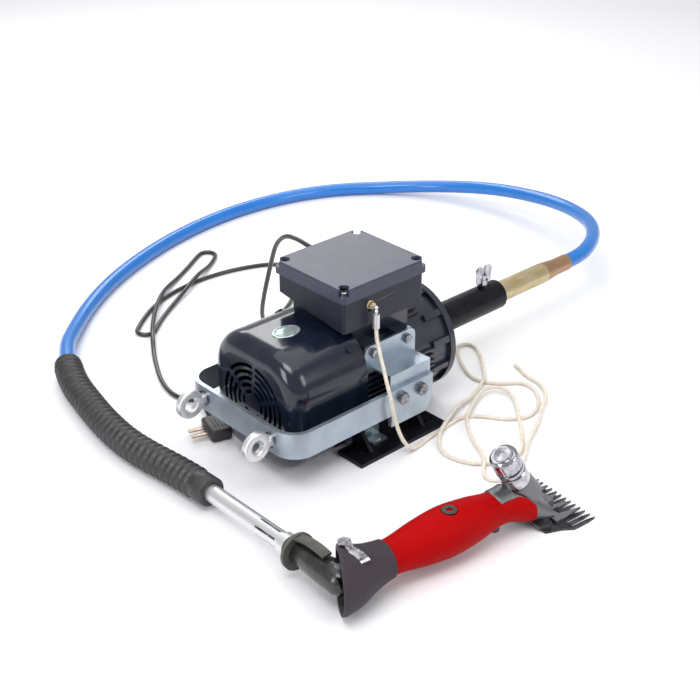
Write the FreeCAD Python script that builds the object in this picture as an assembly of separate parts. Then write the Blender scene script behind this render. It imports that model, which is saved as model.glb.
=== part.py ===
"""Flexible-shaft sheep shearing machine: hanging motor, drive hose and shearing hand piece.

Millimetres. X runs along the motor shaft towards its nose, Z is up, and the origin is
the centre of the four foot bolt holes on the plane that the feet stand on.
"""
import FreeCAD
import Part
import math
import os

V = FreeCAD.Vector
X_DIR = V(1, 0, 0)
Y_DIR = V(0, 1, 0)
Z_DIR = V(0, 0, 1)

# Motor
AXIS_Z = 76.5
BODY_R = 62.0
FIN_R = 67.0
BORE_R = 56.0
BODY_X0, BODY_X1 = -52.0, 72.0
SHAFT_R = 7.45
BEARING_R, BEARING_BORE, BEARING_W = 17.5, 7.5, 11.0
FLANGE_X0, FLANGE_X1 = 98.0, 108.0
HUB_X1, HUB_R = 140.0, 26.0
SLEEVE_X1, SLEEVE_R = 254.0, 19.0
FERRULE_R = 13.5
FERRULE_X0, FERRULE_X1 = 205.0, 345.0
CRIMP_X1, CRIMP_END_R = 395.0, 11.0
COVER_X0, COVER_X1 = -147.0, -42.0
COVER_HALF, COVER_CORNER, COVER_WALL = 73.5, 48.0, 2.5
COVER_FILLET = 20.0

# Terminal box
BOX_HALF_X, BOX_HALF_Y = 61.0, 55.0
LID_HALF_X, LID_HALF_Y = 64.0, 58.0
BOX_SLOPE_NEAR, BOX_SLOPE_FAR = 152.0, 168.0
BOX_Z0, SEAM_Z, LID_Z1 = 150.0, 189.5, 206.5
GASKET_T = 1.0
BOX_WALL = 3.0
LID_SCREW_X, LID_SCREW_Y = 55.0, 49.0
CHAIN_X, CHAIN_Y, CHAIN_Z = -22.0, -65.0, 177.0
GLAND_X, GLAND_Y1, GLAND_Z = 25.0, 77.0, 180.0

# Feet and hanger
FOOT_HALF_X = 68.0
FOOT_Y0, FOOT_Y1, FOOT_T = 50.0, 92.0, 5.0
FOOT_HOLE_X, FOOT_HOLE_Y, FOOT_HOLE_R = 50.0, 75.0, 3.5
BAR_T = 5.0
BAR_Y, BAR_X0, BAR_X1 = 94.0, -170.0, 41.0
BAR_Z0, BAR_Z1, TAB_Z0 = 52.0, 83.0, 37.0
BAR_BEND_R = 28.0
EYE_Y, EYE_Z = 58.5, 68.0
EYE_R, EYE_HOLE_R, EYE_W = 17.0, 8.0, 9.0
ARM_BOLTS = ((-8.0, 70.0), (22.0, 70.0))
PLATE_BOLTS = ((-24.0, 121.0), (27.0, 121.0))
PLATE_Y = 64.0

# Hose and handle
HOSE_R = 10.0
GUARD_R = 18.0
TUBE_R = 9.75
TUBE_X0 = 75.0
YOKE_X1 = 74.0
STRAP_X0 = 62.0
ELBOW = V(-244.0, -249.0, 33.0)
GUARD_START = V(-199.0, 306.0, 18.0)
GUARD_END = V(-237.0, -40.0, 21.5)
GUARD_POCKET = 22.0
GEAR_NEAR, GEAR_FAR, GEAR_HALF_ANGLE = 3.9, 5.8, 47.3

# Hand piece, in its own frame: the elbow at the origin and X along the grip
HAND_YAW = -6.7
FLOOR = -33.0
GRIP_X0, GRIP_X1 = 48.0, 205.0
CUP_X1 = 54.0
CUP_BOLT_X, CUP_BOLT_Y, CUP_SEAT_Z = 10.0, 6.0, 30.6
BARREL_R, BARREL_BORE = 13.0, 10.5
CRANK_X, CRANK_THROW = 194.0, 3.0
PIVOT_X = 224.0
COMB_X0, COMB_X1, COMB_HALF = 240.0, 301.0, 45.0
COMB_T = 3.0
COMB_SCREW_X = 250.0
TEETH = 13
GRIP_SCREW_X, LOW_SCREW_X = 134.0, 192.0
KNOB_X, KNOB_Z, KNOB_LEAN = 224.0, 24.0, 30.0
KNOB_R = 15.4

# Cords
CORD_R = 3.0
ROPE_R = 2.5
PLUG_NECK = V(-127.0, 114.0, 7.5)
PLUG_TURN = -17.5


def box(x0, y0, z0, x1, y1, z1):
    return Part.makeBox(x1 - x0, y1 - y0, z1 - z0, V(x0, y0, z0))


def rod(radius, start, direction, length):
    return Part.makeCylinder(radius, length, start, direction)


def ring(outer, inner, start, direction, length):
    return rod(outer, start, direction, length).cut(rod(inner, start, direction, length))


def along_axis(radius, x0, x1):
    return rod(radius, V(x0, 0, AXIS_Z), X_DIR, x1 - x0)


def ring_on_axis(outer, inner, x0, x1):
    return ring(outer, inner, V(x0, 0, AXIS_Z), X_DIR, x1 - x0)


def hexagon(across_flats, start, direction, length):
    """Hexagonal prism about direction."""
    radius = across_flats / math.sqrt(3)
    points = [V(radius * math.cos(math.radians(60 * i)), radius * math.sin(math.radians(60 * i)), 0)
              for i in range(6)]
    prism = Part.Face(Part.makePolygon(points + points[:1])).extrude(V(0, 0, length))
    prism.Placement = FreeCAD.Placement(start, FreeCAD.Rotation(Z_DIR, direction))
    return prism


def fuse(shapes):
    return shapes[0].multiFuse(list(shapes[1:])).removeSplitter()


def group(shapes):
    return Part.makeCompound(list(shapes))


def save(name, shape):
    if not shape.isValid():
        raise ValueError("invalid shape: " + name)
    shape.exportStep(os.path.join("parts", name + ".step"))


def mirror_y(shape):
    return shape.mirror(V(0, 0, 0), Y_DIR)


def turn_about_axis(shape, degrees):
    turned = shape.copy()
    turned.rotate(V(0, 0, AXIS_Z), X_DIR, degrees)
    return turned


# ---------------------------------------------------------------- motor

def fin_angles():
    """Fins all round, in degrees from +Y, except at the box pad, the feet and the side lugs."""
    blocked = ((62, 118), (199, 236), (304, 341), (14, 52), (128, 166))
    return [a for a in range(0, 360, 6) if not any(low < a < high for low, high in blocked)]


def below_box(lift):
    """Space under the sloping floor of the terminal box."""
    outline = [V(-80, -60, 100), V(-80, -60, BOX_SLOPE_NEAR + lift), V(-80, 60, BOX_SLOPE_FAR + lift),
               V(-80, 60, 100), V(-80, -60, 100)]
    return Part.Face(Part.makePolygon(outline)).extrude(V(160, 0, 0))


def motor_frame():
    body = along_axis(BODY_R, BODY_X0, BODY_X1)
    fins = [turn_about_axis(box(BODY_X0, BODY_R - 2, AXIS_Z - 1.2, BODY_X1, FIN_R, AXIS_Z + 1.2), a)
            for a in fin_angles()]
    pad = box(-50, -42, 125, 50, 42, BOX_SLOPE_FAR).common(below_box(0))
    foot_pads = [box(-44, side * 42 - 8, 20, 44, side * 42 + 8, 50) for side in (-1, 1)]
    lugs = [box(x - 11, min(side * 40, side * (PLATE_Y - 3)), z - 11, x + 11,
                max(side * 40, side * (PLATE_Y - 3)), z + 9)
            for side in (-1, 1) for x, z in PLATE_BOLTS]
    frame = fuse([body] + fins + [pad] + foot_pads + lugs)
    frame = frame.cut(along_axis(BORE_R, BODY_X0, BODY_X1))
    frame = frame.cut(rod(14, V(0, 0, 120), Z_DIR, 50))
    for side in (-1, 1):
        for x, z in PLATE_BOLTS:
            frame = frame.cut(rod(3.0, V(x, side * (PLATE_Y - 3), z), V(0, -side, 0), 9))
        for x in (-28, 28):
            frame = frame.cut(rod(4.0, V(x, side * FOOT_Y0, 33), V(0, -side, 0), 11))
    return frame.removeSplitter()


def front_endshield():
    cup = ring_on_axis(BODY_R, BORE_R, BODY_X1, FLANGE_X1)
    flange = ring_on_axis(FIN_R, 20, FLANGE_X0 + 2, FLANGE_X1)
    boss = ring_on_axis(23, BEARING_R, 88, FLANGE_X0 + 2)
    wall = ring_on_axis(BODY_R - 1, 10, 99, FLANGE_X0 + 4)
    hub = ring_on_axis(HUB_R, 10, FLANGE_X0 + 4, HUB_X1)
    ribs = [turn_about_axis(box(74, BODY_R - 2, AXIS_Z - 4, FLANGE_X0 + 4, 66, AXIS_Z + 4), a)
            for a in range(15, 375, 30)]
    return fuse([cup, flange, boss, wall, hub] + ribs)


def rear_endshield():
    disc = ring_on_axis(BODY_R - 2, BEARING_R, -62, BODY_X0)
    boss = ring_on_axis(23, 10, -66, -63)
    step = ring_on_axis(23, BEARING_R, -63, BODY_X0)
    lugs = [turn_about_axis(box(-62, 50, AXIS_Z - 6, BODY_X0, 80.9, AXIS_Z + 6), a)
            for a in (45, 135, 225, 315)]
    shield = fuse([disc, boss, step] + lugs).cut(along_axis(BEARING_R, -63, BODY_X0))
    for a in (45, 135, 225, 315):
        shield = shield.cut(turn_about_axis(rod(2.5, V(-57, 60, AXIS_Z), Y_DIR, 25), a))
    return shield


def rounded_square(half, corner, x):
    flat = half - corner
    k = corner * math.sqrt(0.5)
    edges = []
    for i in range(4):
        turn = FreeCAD.Rotation(X_DIR, 90 * i)
        place = [V(x, -flat, half), V(x, flat, half), V(x, flat + k, flat + k), V(x, half, flat)]
        a, b, c, d = [turn.multVec(p - V(x, 0, 0)) + V(x, 0, AXIS_Z) for p in place]
        edges.append(Part.LineSegment(a, b).toShape())
        edges.append(Part.Arc(b, c, d).toShape())
    return Part.Face(Part.Wire(Part.__sortEdges__(edges)))


def cover_block(inset):
    half = COVER_HALF - inset
    block = rounded_square(half, COVER_CORNER - inset, COVER_X0 + inset)
    block = block.extrude(V(COVER_X1 - COVER_X0 - inset, 0, 0))
    rear = [e for e in block.Edges if e.BoundBox.XMax < COVER_X0 + inset + 0.1]
    return block.makeFillet(COVER_FILLET - inset, rear)


def fan_cover():
    cover = cover_block(0).cut(cover_block(COVER_WALL))
    spokes = [turn_about_axis(box(COVER_X0 - 1, -60, AXIS_Z - 2.5, COVER_X0 + 4, 60, AXIS_Z + 2.5), a)
              for a in (35, 95, 155)]
    slots = fuse([ring_on_axis(r + 2.2, r - 2.2, COVER_X0 - 0.5, COVER_X0 + 3) for r in (15, 23, 31, 39, 47)])
    cover = cover.cut(slots.cut(fuse(spokes)))
    for a in (45, 135, 225, 315):
        cover = cover.cut(turn_about_axis(rod(2.6, V(-57, 70, AXIS_Z), Y_DIR, 20), a))
    return cover


def cover_screws():
    screw = fuse([rod(2.45, V(-57, 72, AXIS_Z), Y_DIR, 12.5), rod(5, V(-57, 84.2, AXIS_Z), Y_DIR, 2.2)])
    return group([turn_about_axis(screw, a) for a in (45, 135, 225, 315)])


def stator():
    core = ring_on_axis(BORE_R - 0.05, 28, -30, 50)
    coils = [ring_on_axis(52, 32, -45, -30), ring_on_axis(52, 32, 50, 65)]
    return fuse([core] + coils)


def shaft_bearings():
    return group([ring_on_axis(BEARING_R - 0.02, BEARING_BORE, -63, -63 + BEARING_W),
                  ring_on_axis(BEARING_R - 0.02, BEARING_BORE, 88, 88 + BEARING_W)])


def rotor_shaft():
    shaft = fuse([along_axis(SHAFT_R, -112, 130), along_axis(10, -48, 84), along_axis(9, 104, 158)])
    return shaft.cut(box(140, -3.1, AXIS_Z - 3.1, 158, 3.1, AXIS_Z + 3.1))


def rotor_core():
    return ring_on_axis(27.6, 10, -32, 52)


def cooling_fan():
    hub = ring_on_axis(16, SHAFT_R, -112, -84)
    disc = ring_on_axis(54, 14, -87, -84)
    blade = box(-110, 14, AXIS_Z - 1, -85, 56, AXIS_Z + 1)
    return fuse([hub, disc] + [turn_about_axis(blade, a) for a in range(0, 360, 40)])


def nose_sleeve():
    sleeve = along_axis(SLEEVE_R, HUB_X1, SLEEVE_X1)
    boss = rod(7.5, V(228, 0, AXIS_Z + 14), Z_DIR, 8.5)
    sleeve = fuse([sleeve, boss]).cut(along_axis(FERRULE_R + 0.05, HUB_X1 + 3, SLEEVE_X1))
    sleeve = sleeve.cut(along_axis(10, HUB_X1 - 1, HUB_X1 + 4))
    return sleeve.cut(rod(4.05, V(228, 0, AXIS_Z + 5), Z_DIR, 25))


def lock_screw():
    base = AXIS_Z + 22.6
    stem = rod(4.0, V(228, 0, AXIS_Z + FERRULE_R + 0.2), Z_DIR, 22)
    collar = rod(6.0, V(228, 0, base), Z_DIR, 7)
    wings = []
    for side in (-1, 1):
        lobe = rod(6.3, V(228 + side * 7.2, -1.6, base + 19), Y_DIR, 3.2)
        web = box(228 + side * 7.2 - 5, -1.6, base + 3, 228 + side * 7.2 + 5, 1.6, base + 18)
        wings += [lobe, web]
    return fuse([stem, collar] + wings)


def drive_core_tip():
    square = box(140.5, -3, AXIS_Z - 3, 172, 3, AXIS_Z + 3)
    return fuse([square, along_axis(4.0, 170, 230)])


def hose_ferrule():
    return ring_on_axis(FERRULE_R, 5.0, FERRULE_X0, FERRULE_X1)


def crimp_sleeve():
    body = Part.makeCone(FERRULE_R, CRIMP_END_R, 26, V(FERRULE_X1, 0, AXIS_Z), X_DIR)
    neck = along_axis(CRIMP_END_R, FERRULE_X1 + 26, CRIMP_X1)
    return fuse([body, neck]).cut(along_axis(5.0, FERRULE_X1, FERRULE_X1 + 20))


# ---------------------------------------------------------------- terminal box

def corner_points():
    return [(sx * LID_SCREW_X, sy * LID_SCREW_Y) for sx in (-1, 1) for sy in (-1, 1)]


def terminal_box():
    outer = box(-BOX_HALF_X, -BOX_HALF_Y, BOX_Z0, BOX_HALF_X, BOX_HALF_Y, SEAM_Z)
    outer = outer.makeFillet(4, [e for e in outer.Edges if abs(e.BoundBox.ZLength - 39.5) < 0.1])
    inner = box(-BOX_HALF_X + BOX_WALL, -BOX_HALF_Y + BOX_WALL, BOX_Z0 + BOX_WALL,
                BOX_HALF_X - BOX_WALL, BOX_HALF_Y - BOX_WALL, SEAM_Z)
    posts = [rod(5, V(x, y, BOX_Z0 + 1), Z_DIR, SEAM_Z - BOX_Z0 - 1) for x, y in corner_points()]
    shell = outer.cut(inner.cut(below_box(BOX_WALL)))
    case = fuse([shell] + posts).cut(below_box(0)).cut(rod(14, V(0, 0, BOX_Z0 - 1), Z_DIR, 20))
    for x, y in corner_points():
        case = case.cut(rod(2.0, V(x, y, SEAM_Z - 20.5), Z_DIR, 30))
    case = case.cut(box(CHAIN_X - 2.5, -BOX_HALF_Y - 1, CHAIN_Z - 8, CHAIN_X + 2.5, -BOX_HALF_Y + 4, CHAIN_Z + 3))
    case = case.cut(box(-12, -BOX_HALF_Y - 1, 177, 13, -BOX_HALF_Y + 1, 179))
    return case.cut(rod(6.0, V(GLAND_X, BOX_HALF_Y - 4, GLAND_Z), Y_DIR, 6))


def box_gasket():
    outer = box(-BOX_HALF_X + 0.5, -BOX_HALF_Y + 0.5, SEAM_Z, BOX_HALF_X - 0.5, BOX_HALF_Y - 0.5, SEAM_Z + GASKET_T)
    gasket = outer.cut(box(-BOX_HALF_X + 2.5, -BOX_HALF_Y + 2.5, SEAM_Z, BOX_HALF_X - 2.5, BOX_HALF_Y - 2.5,
                           SEAM_Z + GASKET_T))
    for x, y in corner_points():
        gasket = gasket.cut(rod(3.0, V(x, y, SEAM_Z), Z_DIR, GASKET_T))
    return gasket


def box_lid():
    z0 = SEAM_Z + GASKET_T
    lid = box(-LID_HALF_X, -LID_HALF_Y, z0, LID_HALF_X, LID_HALF_Y, LID_Z1)
    lid = lid.makeFillet(5, [e for e in lid.Edges if e.BoundBox.ZLength > 10])
    lid = lid.makeFillet(2, [e for e in lid.Edges if e.BoundBox.ZMin > LID_Z1 - 0.1])
    lid = lid.cut(box(-LID_HALF_X + 4, -LID_HALF_Y + 4, z0, LID_HALF_X - 4, LID_HALF_Y - 4, LID_Z1 - 4))
    posts = [rod(6.5, V(x, y, z0), Z_DIR, 8) for x, y in corner_points()]
    lid = fuse([lid] + posts)
    for x, y in corner_points():
        lid = lid.cut(rod(6.0, V(x, y, LID_Z1 - 8), Z_DIR, 9))
        lid = lid.cut(box(min(x, 2 * x), min(y, 2 * y), LID_Z1 - 8, max(x, 2 * x), max(y, 2 * y), LID_Z1 + 1))
        lid = lid.cut(rod(2.3, V(x, y, z0), Z_DIR, 9))
    return lid


def lid_screws():
    head_z = LID_Z1 - 8
    screws = []
    for x, y in corner_points():
        head = rod(4.6, V(x, y, head_z), Z_DIR, 3.2)
        shank = rod(1.95, V(x, y, SEAM_Z - 20), Z_DIR, head_z - SEAM_Z + 21)
        screws.append(fuse([head, shank]))
    return group(screws)


def run_capacitor():
    return rod(13, V(-42, 8, 178.5), X_DIR, 72)


def pull_switch():
    body = box(CHAIN_X - 13, -BOX_HALF_Y + BOX_WALL, 160, CHAIN_X + 13, -24, 186)
    slot = box(CHAIN_X - 2.5, -BOX_HALF_Y + BOX_WALL, CHAIN_Z - 8, CHAIN_X + 2.5, -36, CHAIN_Z + 3)
    return body.cut(slot)


def pull_chain():
    """Switch lever, bead chain and the bell that grips the pull rope."""
    y = CHAIN_Y
    lever = rod(1.6, V(CHAIN_X, -38, CHAIN_Z), V(0, -1, 0), -38 - y)
    link = rod(1.0, V(CHAIN_X, y, CHAIN_Z - 9), Z_DIR, 9)
    beads = [Part.makeSphere(2.3, V(CHAIN_X, y, CHAIN_Z - 4.4 * i)) for i in range(2)]
    bell = ring(4.0, 2.9, V(CHAIN_X, y, CHAIN_Z - 25), Z_DIR, 15)
    top = rod(4.0, V(CHAIN_X, y, CHAIN_Z - 10.5), Z_DIR, 2.5)
    return fuse([lever, link, bell, top] + beads)


def cable_gland():
    y = BOX_HALF_Y
    nut = hexagon(17, V(GLAND_X, y, GLAND_Z), Y_DIR, 6)
    dome = Part.makeCone(7.5, 5.0, GLAND_Y1 - y - 6, V(GLAND_X, y + 6, GLAND_Z), Y_DIR)
    thread = rod(5.95, V(GLAND_X, y - 6, GLAND_Z), Y_DIR, 7)
    return fuse([nut, dome, thread]).cut(rod(CORD_R, V(GLAND_X, y - 6, GLAND_Z), Y_DIR, 20))


# ---------------------------------------------------------------- feet and hanger

def foot():
    plate = box(-FOOT_HALF_X, FOOT_Y0 + 2, 0, FOOT_HALF_X, FOOT_Y1, FOOT_T)
    web = box(-44, FOOT_Y0, 0, 44, FOOT_Y0 + 5, 46)
    gussets = []
    for x in (-44, 39):
        wedge = Part.makePolygon([V(x, FOOT_Y0 + 3, 4), V(x, FOOT_Y1 - 10, 4), V(x, FOOT_Y0 + 3, 40),
                                  V(x, FOOT_Y0 + 3, 4)])
        gussets.append(Part.Face(wedge).extrude(V(5, 0, 0)))
    shape = fuse([plate, web] + gussets)
    for x in (-FOOT_HOLE_X, FOOT_HOLE_X):
        shape = shape.cut(rod(FOOT_HOLE_R, V(x, FOOT_HOLE_Y, -1), Z_DIR, FOOT_T + 2))
    for x in (-28, 28):
        shape = shape.cut(rod(4.1, V(x, FOOT_Y0 - 1, 33), Y_DIR, 8))
    return shape


def foot_bolts():
    bolts = []
    for side in (-1, 1):
        for x in (-28, 28):
            out = V(0, side, 0)
            head = hexagon(13, V(x, side * (FOOT_Y0 + 5), 33), out, 5.5)
            shank = rod(3.95, V(x, side * (FOOT_Y0 - 10), 33), out, 16)
            bolts.append(fuse([head, shank]))
    return group(bolts)


def bar_outline(inset):
    x0, y = BAR_X0 + inset, BAR_Y - inset
    r = BAR_BEND_R - inset
    k = r * (1 - math.sqrt(0.5))
    points = [V(BAR_X1, -y, BAR_Z0), V(x0 + r, -y, BAR_Z0), V(x0 + k, -y + k, BAR_Z0), V(x0, -y + r, BAR_Z0),
              V(x0, y - r, BAR_Z0), V(x0 + k, y - k, BAR_Z0), V(x0 + r, y, BAR_Z0), V(BAR_X1, y, BAR_Z0)]
    return [Part.LineSegment(points[0], points[1]), Part.Arc(*points[1:4]),
            Part.LineSegment(points[3], points[4]), Part.Arc(*points[4:7]),
            Part.LineSegment(points[6], points[7])]


def hanger_bracket():
    outer, inner = bar_outline(0), bar_outline(BAR_T)
    ends = [Part.LineSegment(V(BAR_X1, s * BAR_Y, BAR_Z0), V(BAR_X1, s * (BAR_Y - BAR_T), BAR_Z0)) for s in (-1, 1)]
    edges = [g.toShape() for g in outer + inner + ends]
    bar = Part.Face(Part.Wire(Part.__sortEdges__(edges))).extrude(V(0, 0, BAR_Z1 - BAR_Z0))
    tabs = []
    for side in (-1, 1):
        y = min(side * BAR_Y, side * (BAR_Y - BAR_T))
        outline = [V(-24, y, BAR_Z0 + 2), V(-24, y, TAB_Z0), V(BAR_X1 - 11, y, TAB_Z0),
                   V(BAR_X1 - 4, y, TAB_Z0 + 7), V(BAR_X1, y, BAR_Z0 + 2), V(-24, y, BAR_Z0 + 2)]
        tabs.append(Part.Face(Part.makePolygon(outline)).extrude(V(0, BAR_T, 0)))
    bracket = fuse([bar] + tabs)
    for x, z in ARM_BOLTS:
        bracket = bracket.cut(rod(4.1, V(x, -BAR_Y - 1, z), Y_DIR, 2 * BAR_Y + 2))
    for y in (-EYE_Y, EYE_Y):
        bracket = bracket.cut(rod(4.1, V(BAR_X0 - 1, y, EYE_Z), X_DIR, BAR_T + 2))
    return bracket


def side_plate():
    """Bent sheet on the -Y side: low flange behind the bar, shelf, and high flange on the motor lugs."""
    t = 3.0
    y_low = -(BAR_Y - BAR_T)
    low = box(-22, y_low, TAB_Z0 + 3, BAR_X1, y_low + t, 100)
    shelf = box(-22, y_low, 97, BAR_X1, -PLATE_Y + t, 100)
    high = box(-38, -PLATE_Y, 97, BAR_X1, -PLATE_Y + t, 131)
    plate = fuse([low, shelf, high])
    corners = [e for e in plate.Edges if e.BoundBox.YLength > t - 0.1 and e.BoundBox.XLength < 0.1
               and e.BoundBox.ZLength < 0.1 and e.BoundBox.ZMin > 130]
    plate = plate.makeFillet(9, corners)
    for x, z in ARM_BOLTS:
        plate = plate.cut(rod(4.1, V(x, y_low - 1, z), Y_DIR, t + 2))
    for x, z in PLATE_BOLTS:
        plate = plate.cut(rod(3.1, V(x, -PLATE_Y - 1, z), Y_DIR, t + 2))
    return plate


def bracket_bolts():
    bolts = []
    for side in (-1, 1):
        for x, z in ARM_BOLTS:
            inward = V(0, -side, 0)
            head = hexagon(13, V(x, side * (BAR_Y + 5.3), z), inward, 5.3)
            shank = rod(4.0, V(x, side * (BAR_Y + 1), z), inward, 18)
            nut = hexagon(13, V(x, side * (BAR_Y - BAR_T - 3), z), inward, 6.5)
            bolts.append(fuse([head, shank, nut]))
    return group(bolts)


def plate_bolts():
    bolts = []
    for side in (-1, 1):
        for x, z in PLATE_BOLTS:
            inward = V(0, -side, 0)
            head = hexagon(10, V(x, side * (PLATE_Y + 4), z), inward, 4)
            shank = rod(2.95, V(x, side * (PLATE_Y + 1), z), inward, 12)
            bolts.append(fuse([head, shank]))
    return group(bolts)


def eye_bolts():
    bolts = []
    for y in (-EYE_Y, EYE_Y):
        centre = V(BAR_X0 - 4 - EYE_R + 1, y, EYE_Z)
        eye = ring(EYE_R, EYE_HOLE_R, centre - V(0, EYE_W / 2, 0), Y_DIR, EYE_W)
        eye = eye.makeFillet(2.5, [e for e in eye.Edges if e.BoundBox.YLength < 0.1])
        collar = rod(6.5, V(BAR_X0 - 6, y, EYE_Z), X_DIR, 4.5)
        shank = rod(4.0, V(BAR_X0 - 6, y, EYE_Z), X_DIR, 24)
        bolts.append(fuse([eye, collar, shank]))
    return group(bolts)


def eye_bolt_nuts():
    parts = []
    for y in (-EYE_Y, EYE_Y):
        washer = ring(9, 4.05, V(BAR_X0 - 1.5, y, EYE_Z), X_DIR, 1.5)
        nut = hexagon(13, V(BAR_X0 + BAR_T, y, EYE_Z), X_DIR, 6.5)
        parts += [washer, nut.cut(rod(4.0, V(BAR_X0, y, EYE_Z), X_DIR, 20))]
    return group(parts)


def foot_clips():
    """Small zinc angles that tie each foot web to the plate."""
    clips = []
    for side in (-1, 1):
        y0 = FOOT_Y0 + 5
        base = box(-30, y0, FOOT_T, -8, y0 + 16, FOOT_T + 2)
        wall = box(-30, y0, FOOT_T, -8, y0 + 2, FOOT_T + 17)
        bolt = hexagon(8, V(-19, y0 + 10, FOOT_T + 2), Z_DIR, 4)
        clip = fuse([base, wall, bolt])
        clips.append(clip if side > 0 else mirror_y(clip))
    return group(clips)


# ---------------------------------------------------------------- cords

def cord_tube(name, points, radius):
    """Round tube along straight runs joined by tangent arcs, ends square to the first and last run."""
    edges = []
    last = points[0]
    radii = []
    for i in range(1, len(points) - 1):
        before = points[i] - points[i - 1]
        after = points[i + 1] - points[i]
        half = before.getAngle(after) / 2
        run = 0.45 * min(before.Length, after.Length)
        radii.append(run / math.tan(half))
        a = points[i] - V(before).normalize() * run
        b = points[i] + V(after).normalize() * run
        inward = (V(after).normalize() - V(before).normalize()).normalize()
        middle = points[i] + inward * (radii[-1] / math.cos(half) - radii[-1])
        edges.append(Part.LineSegment(last, a).toShape())
        edges.append(Part.Arc(a, middle, b).toShape())
        last = b
    edges.append(Part.LineSegment(last, points[-1]).toShape())
    path = Part.Wire(edges)
    circle = Part.Wire(Part.makeCircle(radius, points[0], points[1] - points[0]))
    tube = path.makePipeShell([circle], True, False)
    share = tube.Volume / (math.pi * radius ** 2 * path.Length)
    print(name, "length", round(path.Length), "volume share", round(share, 4),
          "radii", [round(r) for r in radii])
    return tube


def hose_points():
    z = HOSE_R
    return [V(CRIMP_X1, 0, AXIS_Z), V(424, 0, AXIS_Z), V(462, 12, 76.5), V(503, 36, 73), V(541, 70, 68),
            V(572, 116, 61), V(593, 174, 54), V(602, 240, 45), V(600, 304, 36), V(587, 364, 26), V(558, 424, 17),
            V(512, 480, 11), V(452, 527, z), V(380, 556, z), V(300, 568, z), V(220, 565, z), V(138, 549, z),
            V(60, 522, z), V(-14, 487, z), V(-80, 443, z), V(-136, 392, 13),
            GUARD_START - guard_mouth_direction() * 42, GUARD_START + guard_mouth_direction() * 20]


def guard_mouth_direction():
    return (guard_points()[1] - guard_points()[0]).normalize()


def guard_points():
    return [GUARD_START, V(-216, 271, 18), V(-230, 212, 18), V(-242, 150, 18), V(-246, 90, 18),
            GUARD_END + tube_axis() * 45, GUARD_END]


def mains_points():
    """Gland, arch down behind the motor, three passes folded on the floor, then the plug."""
    z = CORD_R
    over = 9.6
    return [V(GLAND_X, GLAND_Y1, GLAND_Z), V(25, 98, GLAND_Z), V(28, 124, 181), V(32, 152, 176), V(36, 175, 157),
            V(42, 192, 128), V(46, 206, 97), V(48, 218, 66), V(53, 231, 35), V(64, 242, 9), V(92, 250, z),
            V(124, 263, z), V(156, 286, z), V(184, 316, z), V(206, 347, z), V(210, 372, z), V(194, 389, z),
            V(168, 401, z), V(134, 411, z), V(98, 415, z), V(60, 413, z), V(22, 405, z), V(-16, 388, z),
            V(-46, 367, z), V(-60, 355, z), V(-69, 347, z), V(-71.5, 339, z), V(-68.5, 331, z), V(-61.5, 327, z),
            V(-53.5, 328, z), V(-41, 339, z), V(-18, 357, z), V(18, 380, 4), V(48, 396, 7), V(68, 408, over),
            V(92, 422, over), V(120, 439, 4), V(140, 453, z), V(155, 466, z), V(158, 474, z), V(156, 482, z),
            V(149, 487, z), V(141, 487, z), V(126, 478, z), V(100, 461, z), V(66, 441, z), V(34, 422, 6),
            V(12, 403, over), V(-8, 385, over), V(-30, 361, over), V(-52, 334, over), V(-68, 311, over),
            V(-88, 281, z), V(-107, 247, z), V(-123, 214, z), V(-131, 184, z),
            V(-129, 161, 4), PLUG_NECK + plug_direction() * 24, PLUG_NECK]


def rope_points():
    """Hangs from the bell over the hanger arm, then lies in loose crossing loops."""
    z = ROPE_R
    over = 8.4
    x, y = CHAIN_X, CHAIN_Y
    hanging = [V(x, y, 160), V(x, y, 141), V(-25, -76, 121), V(-31, -92, 99), V(-32, -102, 74),
               V(-27, -104, 47), V(-18, -106, 22), V(-4, -107, 4)]
    first_loop = [V(15, -104, z), V(34, -100, z), V(54, -98.5, z), V(74, -96, z), V(94, -96, z), V(111, -109, z),
                  V(126, -135, z), V(148, -150, z), V(172, -146, z), V(194, -129, z), V(207, -110, z),
                  V(207, -92, z), V(192, -81, z), V(176, -66, z), V(168, -44, z), V(180, -16, z), V(198, 10, z),
                  V(211, 25, z), V(219, 28, z), V(227, 25.5, z), V(232, 19, z), V(232, 11, z), V(224, -3, z),
                  V(209, -22, z), V(193, -38, 4.5)]
    back_loop = [V(176, -56, over), V(158, -66, over), V(134, -75, 4), V(106, -79, over), V(82, -88, over),
                 V(62, -97, over), V(42, -106, 6), V(26, -121, z), V(18, -140, z), V(24, -166, z), V(40, -184, z),
                 V(62, -196, z), V(84, -195, z), V(104, -181, z), V(124, -160, 6), V(138, -144, over),
                 V(154, -128, 6), V(170, -108, 4), V(175, -94, 6), V(168, -82, over), V(150, -76, over)]
    last_loop = [V(128, -84, over), V(108, -95, over), V(90, -104, over), V(76, -120, 6), V(62, -142, 4),
                 V(50, -164, 6), V(38, -182, over), V(25, -190, 6), V(19, -198, 4), V(19, -207, z),
                 V(25, -213, z), V(35, -216, z), V(52, -215, z), V(75, -208, 5), V(98, -192, over),
                 V(120, -180, 6), V(146, -168, 4),
                 V(169, -153, over), V(191, -142, over), V(211, -125, 4), V(222, -106, z), V(222, -87, z),
                 V(229, -71, z), V(234, -56, z)]
    return hanging + first_loop + back_loop + last_loop


def plug_direction():
    """Direction in which the lead leaves the plug."""
    return FreeCAD.Rotation(Z_DIR, PLUG_TURN).multVec(Y_DIR)


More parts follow.
